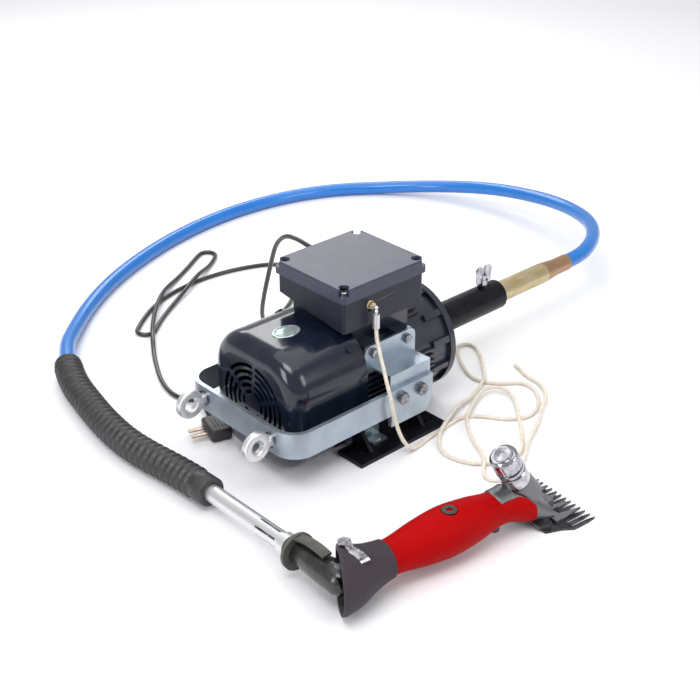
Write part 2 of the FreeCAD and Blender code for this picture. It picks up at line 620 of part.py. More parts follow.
def mains_plug():
    """Flat two-pin plug lying on its side, its lead leaving square to the pins."""
    core = box(-13, -20, 0, 13, 20, 15)
    core = core.makeFillet(4, core.Edges)
    neck = Part.makeCone(5.5, CORD_R + 0.6, 21, V(3, 19, 7.5), Y_DIR)
    pins = [box(-33, y - 3.2, 6.7, -12, y + 3.2, 8.3) for y in (-6.35, 6.35)]
    plug = fuse([core, neck] + pins)
    turn = FreeCAD.Rotation(Z_DIR, PLUG_TURN)
    offset = turn.multVec(V(3, 40, 7.5))
    plug.Placement = FreeCAD.Placement(PLUG_NECK - offset, turn)
    return plug


# ---------------------------------------------------------------- handle tube and elbow

def tube_axis():
    """Unit vector from the elbow back along the handle tube."""
    return V(GUARD_END - ELBOW).normalize()


def place_tube(shape):
    """From the tube's own frame (X from the elbow towards the hose, Z upmost) to the model."""
    u = tube_axis()
    side = Z_DIR.cross(u).normalize()
    up = u.cross(side)
    frame = FreeCAD.Placement(FreeCAD.Matrix(u.x, side.x, up.x, ELBOW.x, u.y, side.y, up.y, ELBOW.y,
                                             u.z, side.z, up.z, ELBOW.z, 0, 0, 0, 1))
    placed = shape.copy()
    placed.Placement = frame.multiply(shape.Placement)
    return placed


def place_hand(shape):
    """From the hand piece's frame (X along the grip) to the model."""
    placed = shape.copy()
    placed.Placement = FreeCAD.Placement(ELBOW, FreeCAD.Rotation(Z_DIR, HAND_YAW)).multiply(shape.Placement)
    return placed


def pin_tilt():
    """Degrees about the hand piece's X that its ears lean, to stand square to the sloping tube."""
    return -math.degrees(math.asin(-tube_axis().z))


def rod_x(radius, x0, x1, y=0.0, z=0.0):
    return rod(radius, V(x0, y, z), X_DIR, x1 - x0)


def ring_x(outer, inner, x0, x1):
    return rod_x(outer, x0, x1).cut(rod_x(inner, x0 - 1, x1 + 1))


def bend_guard():
    """Rubber sleeve round the end of the hose and the start of the handle tube."""
    body = cord_tube("bend_guard", guard_points(), GUARD_R)
    points = guard_points()
    mouth = rod(HOSE_R + 0.1, points[0], points[1] - points[0], GUARD_POCKET)
    socket = rod(TUBE_R, GUARD_END, tube_axis(), GUARD_POCKET)
    return body.cut(mouth).cut(socket)


def handle_tube():
    far = (GUARD_END - ELBOW).Length + GUARD_POCKET
    tube = ring_x(TUBE_R, 6.5, TUBE_X0, far)
    collar = ring_x(TUBE_R + 2.2, 6.5, TUBE_X0, TUBE_X0 + 9)
    tube = fuse([tube, collar])
    for turn in range(0, 360, 60):
        slot = box(TUBE_X0 + 15, -1.2, 5, TUBE_X0 + 48, 1.2, TUBE_R + 2)
        slot.rotate(V(0, 0, 0), X_DIR, turn)
        tube = tube.cut(slot)
    return tube


def elbow_yoke():
    """Swivelling knuckle: journal inside the handle tube, round body and two cheeks at the pins."""
    journal = rod_x(6.45, YOKE_X1 - 1, TUBE_X0 + 12)
    body = fuse([Part.makeCone(14.5, 13.5, 31, V(17, 0, 0), X_DIR), rod_x(12.5, 47, YOKE_X1)])
    cheeks = []
    for side in (-1, 1):
        cheeks.append(box(0, -10, side * 12.75 - 1.75, 22, 10, side * 12.75 + 1.75).common(rod_x(15.8, -1, 23)))
        cheeks.append(rod(10, V(0, 0, side * 12.75 - 1.75), Z_DIR, 3.5))
    yoke = fuse([journal, body] + cheeks)
    yoke = yoke.cut(rod_x(4.05, 10, TUBE_X0 + 13))
    for side in (-1, 1):
        yoke = yoke.cut(rod(3.0, V(0, 0, side * 12.75 - 3), Z_DIR, 6))
    return yoke


def elbow_pins():
    """Two short pins, fast in the hand piece ears, that turn in the yoke cheeks."""
    pins = []
    for side in (-1, 1):
        z0 = min(side * 8.5, side * 15.5)
        pins.append(fuse([rod(2.95, V(0, 0, z0), Z_DIR, 7), rod(4.6, V(0, 0, side * 15.25 - 0.7), Z_DIR, 1.4)]))
    return group(pins)


def guard_ring():
    """Leather ring on the swivel, with a strap that arches over the knuckle."""
    disc = ring_x(20, 12.55, STRAP_X0, STRAP_X0 + 4)
    inner = [V(STRAP_X0 + 2, 0, 15.4), V(STRAP_X0 - 8, 0, 18.6), V(36, 0, 20.4), V(17, 0, 18.0)]
    outer = [p + V(0, 0, 2.4) for p in inner]
    curve_in = Part.BSplineCurve()
    curve_in.interpolate(inner)
    curve_out = Part.BSplineCurve()
    curve_out.interpolate(outer)
    ends = [Part.LineSegment(inner[0], outer[0]), Part.LineSegment(inner[-1], outer[-1])]
    edges = [g.toShape() for g in [curve_in, curve_out] + ends]
    strap = Part.Face(Part.Wire(Part.__sortEdges__(edges))).extrude(V(0, 11, 0))
    strap.translate(V(0, -5.5, 0))
    return fuse([disc, strap])


def bevel_gear(phase):
    """Equal bevel gear about X with its apex at the origin; eight teeth round a plain cone."""
    def frustum(angle, near, far):
        t = math.tan(math.radians(angle))
        return Part.makeCone(near * t, far * t, far - near, V(near, 0, 0), X_DIR)
    near, far = GEAR_NEAR, GEAR_FAR
    root = frustum(GEAR_HALF_ANGLE - 6, near, far)
    tip = frustum(GEAR_HALF_ANGLE + 4, near, far)
    slabs = []
    for i in range(4):
        slab = box(near - 1, -10, -0.7, far + 1, 10, 0.7)
        slab.rotate(V(0, 0, 0), X_DIR, phase + 45 * i)
        slabs.append(slab)
    return fuse([root, tip.common(fuse(slabs)), rod_x(4.0, far - 0.5, far + 2)])


def input_gear():
    return fuse([bevel_gear(0), rod_x(4.0, GEAR_FAR, TUBE_X0 + 30)])


# ---------------------------------------------------------------- hand piece (its own frame)

def circle_x(x, radius, z=0.0):
    return Part.Wire(Part.makeCircle(radius, V(x, 0, z), X_DIR))


def ellipse_x(x, half_y, half_z, z):
    centre = V(x, 0, z)
    if half_y >= half_z:
        curve = Part.Ellipse(centre + V(0, half_y, 0), centre + V(0, 0, half_z), centre)
    else:
        curve = Part.Ellipse(centre + V(0, 0, half_z), centre + V(0, half_y, 0), centre)
    return Part.Wire(curve.toShape())


def loft(wires):
    return Part.makeLoft(wires, True, False)


def guard_cup():
    """Flared rubber guard with its mouth cut back on the side that the tube comes in from."""
    outer = loft([circle_x(-26, 37, 4), circle_x(-10, 36, 3), circle_x(8, 32.5, 1), circle_x(32, 24.5),
                  circle_x(CUP_X1, 20.5)])
    inner = loft([circle_x(-27, 34.4, 4), circle_x(-10, 33.3, 3), circle_x(8, 29.7, 1), circle_x(30, 21.6),
                  circle_x(46, 17.2)])
    cup = outer.cut(inner).cut(rod_x(17.2, 45, CUP_X1 + 1))
    cutter = box(-60, -60, -60, 0, 90, 60)
    cutter.rotate(V(0, 0, 0), Z_DIR, -27.5)
    cutter.translate(V(-2.2, 0, 0))
    x, y, z = CUP_BOLT_X, CUP_BOLT_Y, CUP_SEAT_Z
    pillar = rod(8.5, V(x, y, 17.5), Z_DIR, z - 17.5)
    cup = fuse([cup.cut(cutter), pillar])
    seat = box(x - 10, y - 10, z, x + 10, y + 10, z + 16)
    return cup.cut(seat).cut(rod(2.6, V(x, y, 10), Z_DIR, 25))


def cup_bolt():
    """Clamp screw of the guard cup with its saddle washer."""
    x, y, z = CUP_BOLT_X, CUP_BOLT_Y, CUP_SEAT_Z
    head = hexagon(13, V(x, y, z + 1.6), Z_DIR, 5.5)
    washer = rod(8.5, V(x, y, z + 0.1), Z_DIR, 1.6)
    shank = rod(2.5, V(x, y, z - 12.5), Z_DIR, 15)
    return fuse([head, washer, shank])


def barrel():
    """Aluminium spindle housing with two ears for the elbow pins."""
    tube = ring_x(BARREL_R, BARREL_BORE, 30, 184)
    plate = ring_x(BARREL_R, 4.05, 20, 31)
    ears = []
    for side in (-1, 1):
        z = side * 9.3
        ears.append(box(0, -7, z - 1.5, 24, 7, z + 1.5))
        ears.append(rod(7, V(0, 0, z - 1.5), Z_DIR, 3))
    ears = fuse([group(ears[:2]), group(ears[2:])])
    for side in (-1, 1):
        ears = ears.cut(rod(2.95, V(0, 0, side * 9.3 - 3), Z_DIR, 6))
    ears.rotate(V(0, 0, 0), X_DIR, pin_tilt())
    return fuse([tube, plate, ears])


def grip():
    """Red grip, waisted and bulged, with a tongue that runs forward over the near side of the head."""
    outer = loft([circle_x(GRIP_X0, 17.6), circle_x(68, 19.2), circle_x(98, 23.8), circle_x(130, 26.4),
                  circle_x(164, 23.6), circle_x(189, 19.4), circle_x(GRIP_X1, 19.2)])
    body = outer.cut(rod_x(BARREL_R, 40, 184.5)).cut(rod_x(16.0, 184, 206))
    body = body.cut(ring_x(30, 17.1, 40, CUP_X1 + 0.5))
    tongue = head_block(2.2).cut(head_block(0)).common(box(GRIP_X1 - 1, -40, -15, 234, -4, 13))
    body = fuse([body, tongue]).cut(rod(3.2, V(GRIP_SCREW_X, 0, 10), Z_DIR, 20))
    return body.cut(rod(8.0, V(GRIP_SCREW_X, 0, 22.5), Z_DIR, 10)).cut(grip_screw_low(0.05))


def head_block(extra):
    """Outside of the head casing, swollen by extra."""
    return loft([circle_x(GRIP_X1, 18.0 + extra), ellipse_x(220, 20.5 + extra, 20 + extra, -2),
                 ellipse_x(238, 25 + extra, 17.5 + extra, -10), ellipse_x(256, 28 + extra, 10.5 + extra, -18)])


def head_casing():
    """Cast head: bored neck, hollow front open towards the comb, tension boss and comb bed."""
    outer = head_block(0)
    inner = loft([circle_x(GRIP_X1 - 1, 15.5), ellipse_x(220, 17.5, 17, -2), ellipse_x(238, 22, 14.5, -10),
                  ellipse_x(257, 25, 7.5, -18)])
    bed = box(236, -27, -30, 254, 27, -26)
    boss = Part.makeCone(19, KNOB_R, 26, V(0, 0, -26), Z_DIR)
    boss.Placement = knob_placement()
    bore = rod(4.05, V(0, 0, -40), Z_DIR, 50)
    bore.Placement = knob_placement()
    land = rod(KNOB_R + 0.8, V(0, 0, 0), Z_DIR, 40)
    land.Placement = knob_placement()
    casing = fuse([outer, bed, boss]).cut(inner).cut(bore).cut(land)
    casing = casing.cut(rod_x(15.5, 203, 222)).cut(box(240, -22, -26, 270, 22, -13))
    for y in (-14, 14):
        casing = casing.cut(rod(2.5, V(COMB_SCREW_X, y, -31), Z_DIR, 6))
    return casing.cut(rod(3.0, V(PIVOT_X, 0, -30), Z_DIR, 14))


def knob_placement():
    return FreeCAD.Placement(V(KNOB_X, 0, KNOB_Z), FreeCAD.Rotation(Y_DIR, -KNOB_LEAN))


def tension_nut():
    """Knurled tension knob, stepped and domed, on the boss."""
    knob = fuse([rod(KNOB_R, V(0, 0, 0.3), Z_DIR, 17.7), rod(KNOB_R - 1.4, V(0, 0, 17), Z_DIR, 4),
                 rod(KNOB_R, V(0, 0, 20), Z_DIR, 5), rod(KNOB_R - 1.4, V(0, 0, 24), Z_DIR, 4),
                 rod(KNOB_R, V(0, 0, 27), Z_DIR, 16),
                 Part.makeCone(KNOB_R, KNOB_R - 4, 4, V(0, 0, 43), Z_DIR)])
    knob = knob.cut(rod(4.05, V(0, 0, -1), Z_DIR, 30))
    knob.Placement = knob_placement()
    return knob


def tension_pin():
    """Screwed sleeve fast in the boss, with the pin that presses on the fork."""
    pin = fuse([rod(4.0, V(0, 0, -16), Z_DIR, 42), rod(2.6, V(0, 0, -39), Z_DIR, 24)])
    pin.Placement = knob_placement()
    return pin


def fulcrum_post():
    return fuse([rod(2.95, V(PIVOT_X, 0, -22.8), Z_DIR, 6), rod(5.0, V(PIVOT_X, 0, -17.6), Z_DIR, 2.2)])


def crank_spindle():
    """Output gear, spindle and crank with its roller pin."""
    gear = bevel_gear(22.5 + pin_tilt())
    shaft = rod_x(4.0, GEAR_FAR, CRANK_X - 8)
    disc = rod_x(7.0, CRANK_X - 9, CRANK_X - 5)
    pin = rod_x(2.5, CRANK_X - 6, CRANK_X + 5, CRANK_THROW, 0)
    return fuse([gear, shaft, disc, pin])


def spindle_bushes():
    return group([ring_x(BARREL_BORE - 0.02, 4.05, x, x + 12) for x in (60, 168)])


def fork():
    """Lever on the fulcrum: roomy yoke round the crank pin behind, arm to the cutter in front."""
    arms = [box(CRANK_X - 2, side * 9.7 - 0.8, -7.9, CRANK_X + 6, side * 9.7 + 0.8, 5) for side in (-1, 1)]
    bridge = box(CRANK_X - 2, -10.5, -7.9, CRANK_X + 6, 10.5, -5.8)
    neck = box(CRANK_X + 3, -5, -11, PIVOT_X + 4, 5, -6.5)
    hub = rod(7.0, V(PIVOT_X, 0, -15.2), Z_DIR, 6)
    arm = box(PIVOT_X, -8, -16, 262, 8, -11.5).cut(rod(12, V(PIVOT_X, 0, -20), Z_DIR, 4.8))
    arm = fuse([arm, hub]).cut(rod(5.1, V(PIVOT_X, 0, -18), Z_DIR, 2.8))
    nose = box(256, -13, -20, 268, 13, -12)
    return fuse(arms + [bridge, neck, arm, nose])


def chicken_feet():
    """Pair of forked feet under the fork nose that press on the cutter."""
    feet = []
    for y in (-8, 8):
        stem = box(258, y - 3, -23.6, 266, y + 3, -20)
        toe = [box(263, y + o - 1.1, -26.2, 276, y + o + 1.1, -23.6) for o in (-4, 4)]
        web = box(260, y - 5, -25.4, 266, y + 5, -23.6)
        feet.append(fuse([stem, web] + toe))
    return group(feet)


def cutter():
    """Four-pronged moving blade on top of the comb."""
    plate = box(258, -29, -29.8, 270, 29, -26.4)
    prongs = []
    for y in (-24, -8, 8, 24):
        outline = [V(269, y - 5, -29.8), V(292, y - 1.4, -29.8), V(292, y + 1.4, -29.8), V(269, y + 5, -29.8),
                   V(269, y - 5, -29.8)]
        prongs.append(Part.Face(Part.makePolygon(outline)).extrude(V(0, 0, 2.6)))
    return fuse([plate] + prongs)


def comb():
    """Flared comb with pointed teeth; its back is slotted for the comb screws."""
    z = FLOOR
    back = [V(COMB_X0, -32, z), V(258, -38, z), V(270, -COMB_HALF, z), V(270, COMB_HALF, z), V(258, 38, z),
            V(COMB_X0, 32, z), V(COMB_X0, -32, z)]
    plate = Part.Face(Part.makePolygon(back)).extrude(V(0, 0, COMB_T))
    pitch = (2 * COMB_HALF - 4) / (TEETH - 1)
    teeth = []
    for i in range(TEETH):
        y = -COMB_HALF + 2 + i * pitch
        outline = [V(269, y - 2, z), V(290, y - 1.6, z), V(COMB_X1, y, z), V(290, y + 1.6, z), V(269, y + 2, z),
                   V(269, y - 2, z)]
        teeth.append(Part.Face(Part.makePolygon(outline)).extrude(V(0, 0, COMB_T)))
    shape = fuse([plate] + teeth)
    for y in (-14, 14):
        shape = shape.cut(box(COMB_X0 - 1, y - 2.6, z - 1, COMB_SCREW_X + 2.6, y + 2.6, z + 4))
        shape = shape.cut(box(COMB_X0 - 1, y - 4.8, z - 1, COMB_SCREW_X + 4.8, y + 4.8, z + 1.6))
    return shape


def comb_screws():
    screws = []
    for y in (-14, 14):
        head = rod(4.5, V(COMB_SCREW_X, y, FLOOR + 0.1), Z_DIR, 1.5)
        shank = rod(2.45, V(COMB_SCREW_X, y, FLOOR + 0.5), Z_DIR, 6.4)
        screws.append(fuse([head, shank]))
    return group(screws)


def grip_screw_low(gap):
    """Small screw that stands out under the neck of the grip."""
    head = rod(6.5 + gap, V(LOW_SCREW_X, -4, -22.5), Z_DIR, 5)
    shank = rod(2.5 + gap, V(LOW_SCREW_X, -4, -18), Z_DIR, 2.6)
    return fuse([head, shank])


def grip_screws():
    """Recessed screw on top of the grip and the small one under the neck."""
    x = GRIP_SCREW_X
    top = fuse([rod(7.9, V(x, 0, 22.6), Z_DIR, 2.4), rod(3.1, V(x, 0, 13.1), Z_DIR, 10)])
    return group([top.cut(hexagon(6, V(x, 0, 23.4), Z_DIR, 3)), grip_screw_low(0)])


def build():
    os.makedirs("parts", exist_ok=True)
    frame = motor_frame()
    feet = [foot().cut(frame), mirror_y(foot()).cut(frame)]
    motor = {
        "motor_frame": frame, "front_endshield": front_endshield(), "rear_endshield": rear_endshield(),
        "fan_cover": fan_cover().cut(frame).cut(feet[0]).cut(feet[1]), "cover_screws": cover_screws(),
        "stator": stator(), "shaft_bearings": shaft_bearings(), "rotor_shaft": rotor_shaft(),
        "rotor_core": rotor_core(), "cooling_fan": cooling_fan(), "nose_sleeve": nose_sleeve(),
        "lock_screw": lock_screw(), "drive_core_tip": drive_core_tip(), "hose_ferrule": hose_ferrule(),
        "crimp_sleeve": crimp_sleeve(), "terminal_box": terminal_box(), "box_gasket": box_gasket(),
        "box_lid": box_lid(), "lid_screws": lid_screws(), "run_capacitor": run_capacitor(),
        "pull_switch": pull_switch(), "pull_chain": pull_chain(), "cable_gland": cable_gland(),
        "foot_left": feet[0], "foot_right": feet[1], "foot_bolts": foot_bolts(),
        "foot_clips": foot_clips(),
    }
    hanger = {
        "hanger_bracket": hanger_bracket(), "side_plate_right": side_plate(),
        "side_plate_left": mirror_y(side_plate()), "bracket_bolts": bracket_bolts(),
        "plate_bolts": plate_bolts(), "eye_bolts": eye_bolts(), "eye_bolt_nuts": eye_bolt_nuts(),
    }
    handle = {
        "handle_tube": handle_tube(), "elbow_yoke": elbow_yoke(), "elbow_pins": elbow_pins(),
        "guard_ring": guard_ring(), "input_gear": input_gear(),
    }
    casing = head_casing()
    hand = {
        "guard_cup": guard_cup(), "cup_bolt": cup_bolt(), "barrel": barrel(),
        "grip": grip().cut(casing), "grip_screws": grip_screws(), "head_casing": casing,
        "tension_nut": tension_nut(), "tension_pin": tension_pin(), "fulcrum_post": fulcrum_post(),
        "crank_spindle": crank_spindle(), "spindle_bushes": spindle_bushes(), "fork": fork(),
        "chicken_feet": chicken_feet(), "cutter": cutter(), "comb": comb(), "comb_screws": comb_screws(),
    }
    cords = {
        "bend_guard": bend_guard(), "mains_plug": mains_plug(),
        "drive_hose": cord_tube("drive_hose", hose_points(), HOSE_R),
        "mains_cord": cord_tube("mains_cord", mains_points(), CORD_R),
        "pull_rope": cord_tube("pull_rope", rope_points(), ROPE_R),
    }
    for name, shape in {**motor, **hanger, **cords}.items():
        save(name, shape)
    for name, shape in handle.items():
        save(name, place_tube(shape))
    for name, shape in hand.items():
        save(name, place_hand(shape))


build()
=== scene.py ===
"""Looks of the sheep shearing machine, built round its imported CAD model. Lengths are in metres."""
import bisect
import math

import bmesh
import bpy
from mathutils import Matrix, Vector


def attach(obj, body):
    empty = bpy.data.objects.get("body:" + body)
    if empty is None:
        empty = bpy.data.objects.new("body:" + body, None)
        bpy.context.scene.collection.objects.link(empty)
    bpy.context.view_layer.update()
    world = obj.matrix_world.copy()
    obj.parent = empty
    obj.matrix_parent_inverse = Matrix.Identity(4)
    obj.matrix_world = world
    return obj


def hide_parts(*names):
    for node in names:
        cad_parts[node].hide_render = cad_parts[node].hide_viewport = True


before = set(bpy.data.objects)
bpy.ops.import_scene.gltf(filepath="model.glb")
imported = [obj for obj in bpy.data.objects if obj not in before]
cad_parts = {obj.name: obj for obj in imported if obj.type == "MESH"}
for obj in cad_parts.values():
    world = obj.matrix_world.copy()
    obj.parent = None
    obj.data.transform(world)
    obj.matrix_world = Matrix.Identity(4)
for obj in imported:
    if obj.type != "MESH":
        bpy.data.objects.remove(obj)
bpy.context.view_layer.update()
MM = 0.001

CAMERA_PLACE = (-0.893, -0.967, 0.820)
CAMERA_AIM = (0.5936, 0.6435, -0.4833)
CAMERA_LENS = 66.49
FLOOR_HALF = 6


def mm(points):
    return [Vector(p) * MM for p in points]


def circle_angles(count):
    return [2 * math.pi * j / count for j in range(count)]


# ---------------------------------------------------------------- camera, stage and light

def add_camera():
    camera = bpy.data.objects.new("camera", bpy.data.cameras.new("camera"))
    bpy.context.scene.collection.objects.link(camera)
    camera.location = CAMERA_PLACE
    camera.rotation_mode = "QUATERNION"
    camera.rotation_quaternion = Vector(CAMERA_AIM).to_track_quat("-Z", "Y")
    camera.data.lens = CAMERA_LENS
    camera.data.sensor_width = 36.0
    camera.data.clip_start, camera.data.clip_end = 0.05, 30.0
    bpy.context.scene.camera = camera


def area_light(name, location, target, size, energy):
    data = bpy.data.lights.new(name, "AREA")
    data.shape = "RECTANGLE"
    data.size, data.size_y = size
    data.energy = energy
    light = bpy.data.objects.new(name, data)
    bpy.context.scene.collection.objects.link(light)
    light.location = location
    light.rotation_mode = "QUATERNION"
    light.rotation_quaternion = (Vector(target) - Vector(location)).to_track_quat("-Z", "Y")


def add_stage():
    half = FLOOR_HALF
    corners = [(-half, -half, 0), (half, -half, 0), (half, half, 0), (-half, half, 0)]
    floor = new_mesh("studio_floor", corners, [(0, 1, 2, 3)])
    floor.data.materials.append(material("studio_white", (0.86, 0.86, 0.885), rough=0.7))
    world = bpy.data.worlds.new("studio")
    bpy.context.scene.world = world
    world.use_nodes = True
    background = world.node_tree.nodes["Background"]
    background.inputs["Color"].default_value = (1.0, 1.0, 1.0, 1)
    background.inputs["Strength"].default_value = 0.50
    area_light("overhead", (0.0, 0.1, 2.4), (0.0, 0.1, 0.0), (3.2, 3.2), 42)
    area_light("key", (-1.0, -0.5, 1.9), (0.0, 0.1, 0.0), (1.0, 0.7), 14)
    area_light("window", (-1.7, -0.1, 0.75), (0, 0, 0.1), (0.5, 0.9), 9)
    area_light("rear", (0.9, 1.6, 1.2), (0.1, 0.1, 0.0), (1.4, 0.6), 11)
    area_light("front", (0.6, -1.7, 1.0), (0.0, 0.0, 0.1), (0.8, 0.8), 9)
    bpy.context.scene.view_settings.view_transform = "Standard"


# ---------------------------------------------------------------- materials

def material(name, color, rough=0.5, metal=0.0, coat=0.0, vary=0.0, vary_scale=60.0, rough_vary=0.0,
             bump=0.0, bump_scale=400.0, second=None, stretch=(1, 1, 1), sheen=0.0, detail=4.0, gloss=0.5):
    """Procedural material: base colour mottled towards second, uneven gloss and a fine bump."""
    if name in bpy.data.materials:
        return bpy.data.materials[name]
    made = bpy.data.materials.new(name)
    made.use_nodes = True
    nodes, links = made.node_tree.nodes, made.node_tree.links
    shader = nodes["Principled BSDF"]
    shader.inputs["Base Color"].default_value = (*color, 1)
    shader.inputs["Roughness"].default_value = rough
    shader.inputs["Metallic"].default_value = metal
    shader.inputs["Specular IOR Level"].default_value = gloss
    shader.inputs["Coat Weight"].default_value = coat
    shader.inputs["Coat Roughness"].default_value = 0.06
    shader.inputs["Sheen Weight"].default_value = sheen
    place = nodes.new("ShaderNodeTexCoord")
    scaled = nodes.new("ShaderNodeMapping")
    scaled.inputs["Scale"].default_value = stretch
    links.new(place.outputs["Object"], scaled.inputs["Vector"])

    def noise(scale):
        node = nodes.new("ShaderNodeTexNoise")
        node.inputs["Scale"].default_value = scale
        node.inputs["Detail"].default_value = detail
        links.new(scaled.outputs["Vector"], node.inputs["Vector"])
        return node

    if vary:
        patches = noise(vary_scale)
        spread = nodes.new("ShaderNodeMapRange")
        spread.inputs["From Min"].default_value = 0.35
        spread.inputs["From Max"].default_value = 0.65
        spread.inputs["To Max"].default_value = vary
        mix = nodes.new("ShaderNodeMix")
        mix.data_type = "RGBA"
        mix.inputs["A"].default_value = (*color, 1)
        mix.inputs["B"].default_value = (*(second or [c * 0.5 for c in color]), 1)
        links.new(patches.outputs["Fac"], spread.inputs["Value"])
        links.new(spread.outputs["Result"], mix.inputs["Factor"])
        links.new(mix.outputs["Result"], shader.inputs["Base Color"])
    if rough_vary:
        patches = noise(vary_scale * 2.3)
        spread = nodes.new("ShaderNodeMapRange")
        spread.inputs["To Min"].default_value = max(0.02, rough - rough_vary)
        spread.inputs["To Max"].default_value = min(1.0, rough + rough_vary)
        links.new(patches.outputs["Fac"], spread.inputs["Value"])
        links.new(spread.outputs["Result"], shader.inputs["Roughness"])
    if bump:
        grain = noise(bump_scale)
        lift = nodes.new("ShaderNodeBump")
        lift.inputs["Strength"].default_value = bump
        lift.inputs["Distance"].default_value = 0.0006
        links.new(grain.outputs["Fac"], lift.inputs["Height"])
        links.new(lift.outputs["Normal"], shader.inputs["Normal"])
    return made


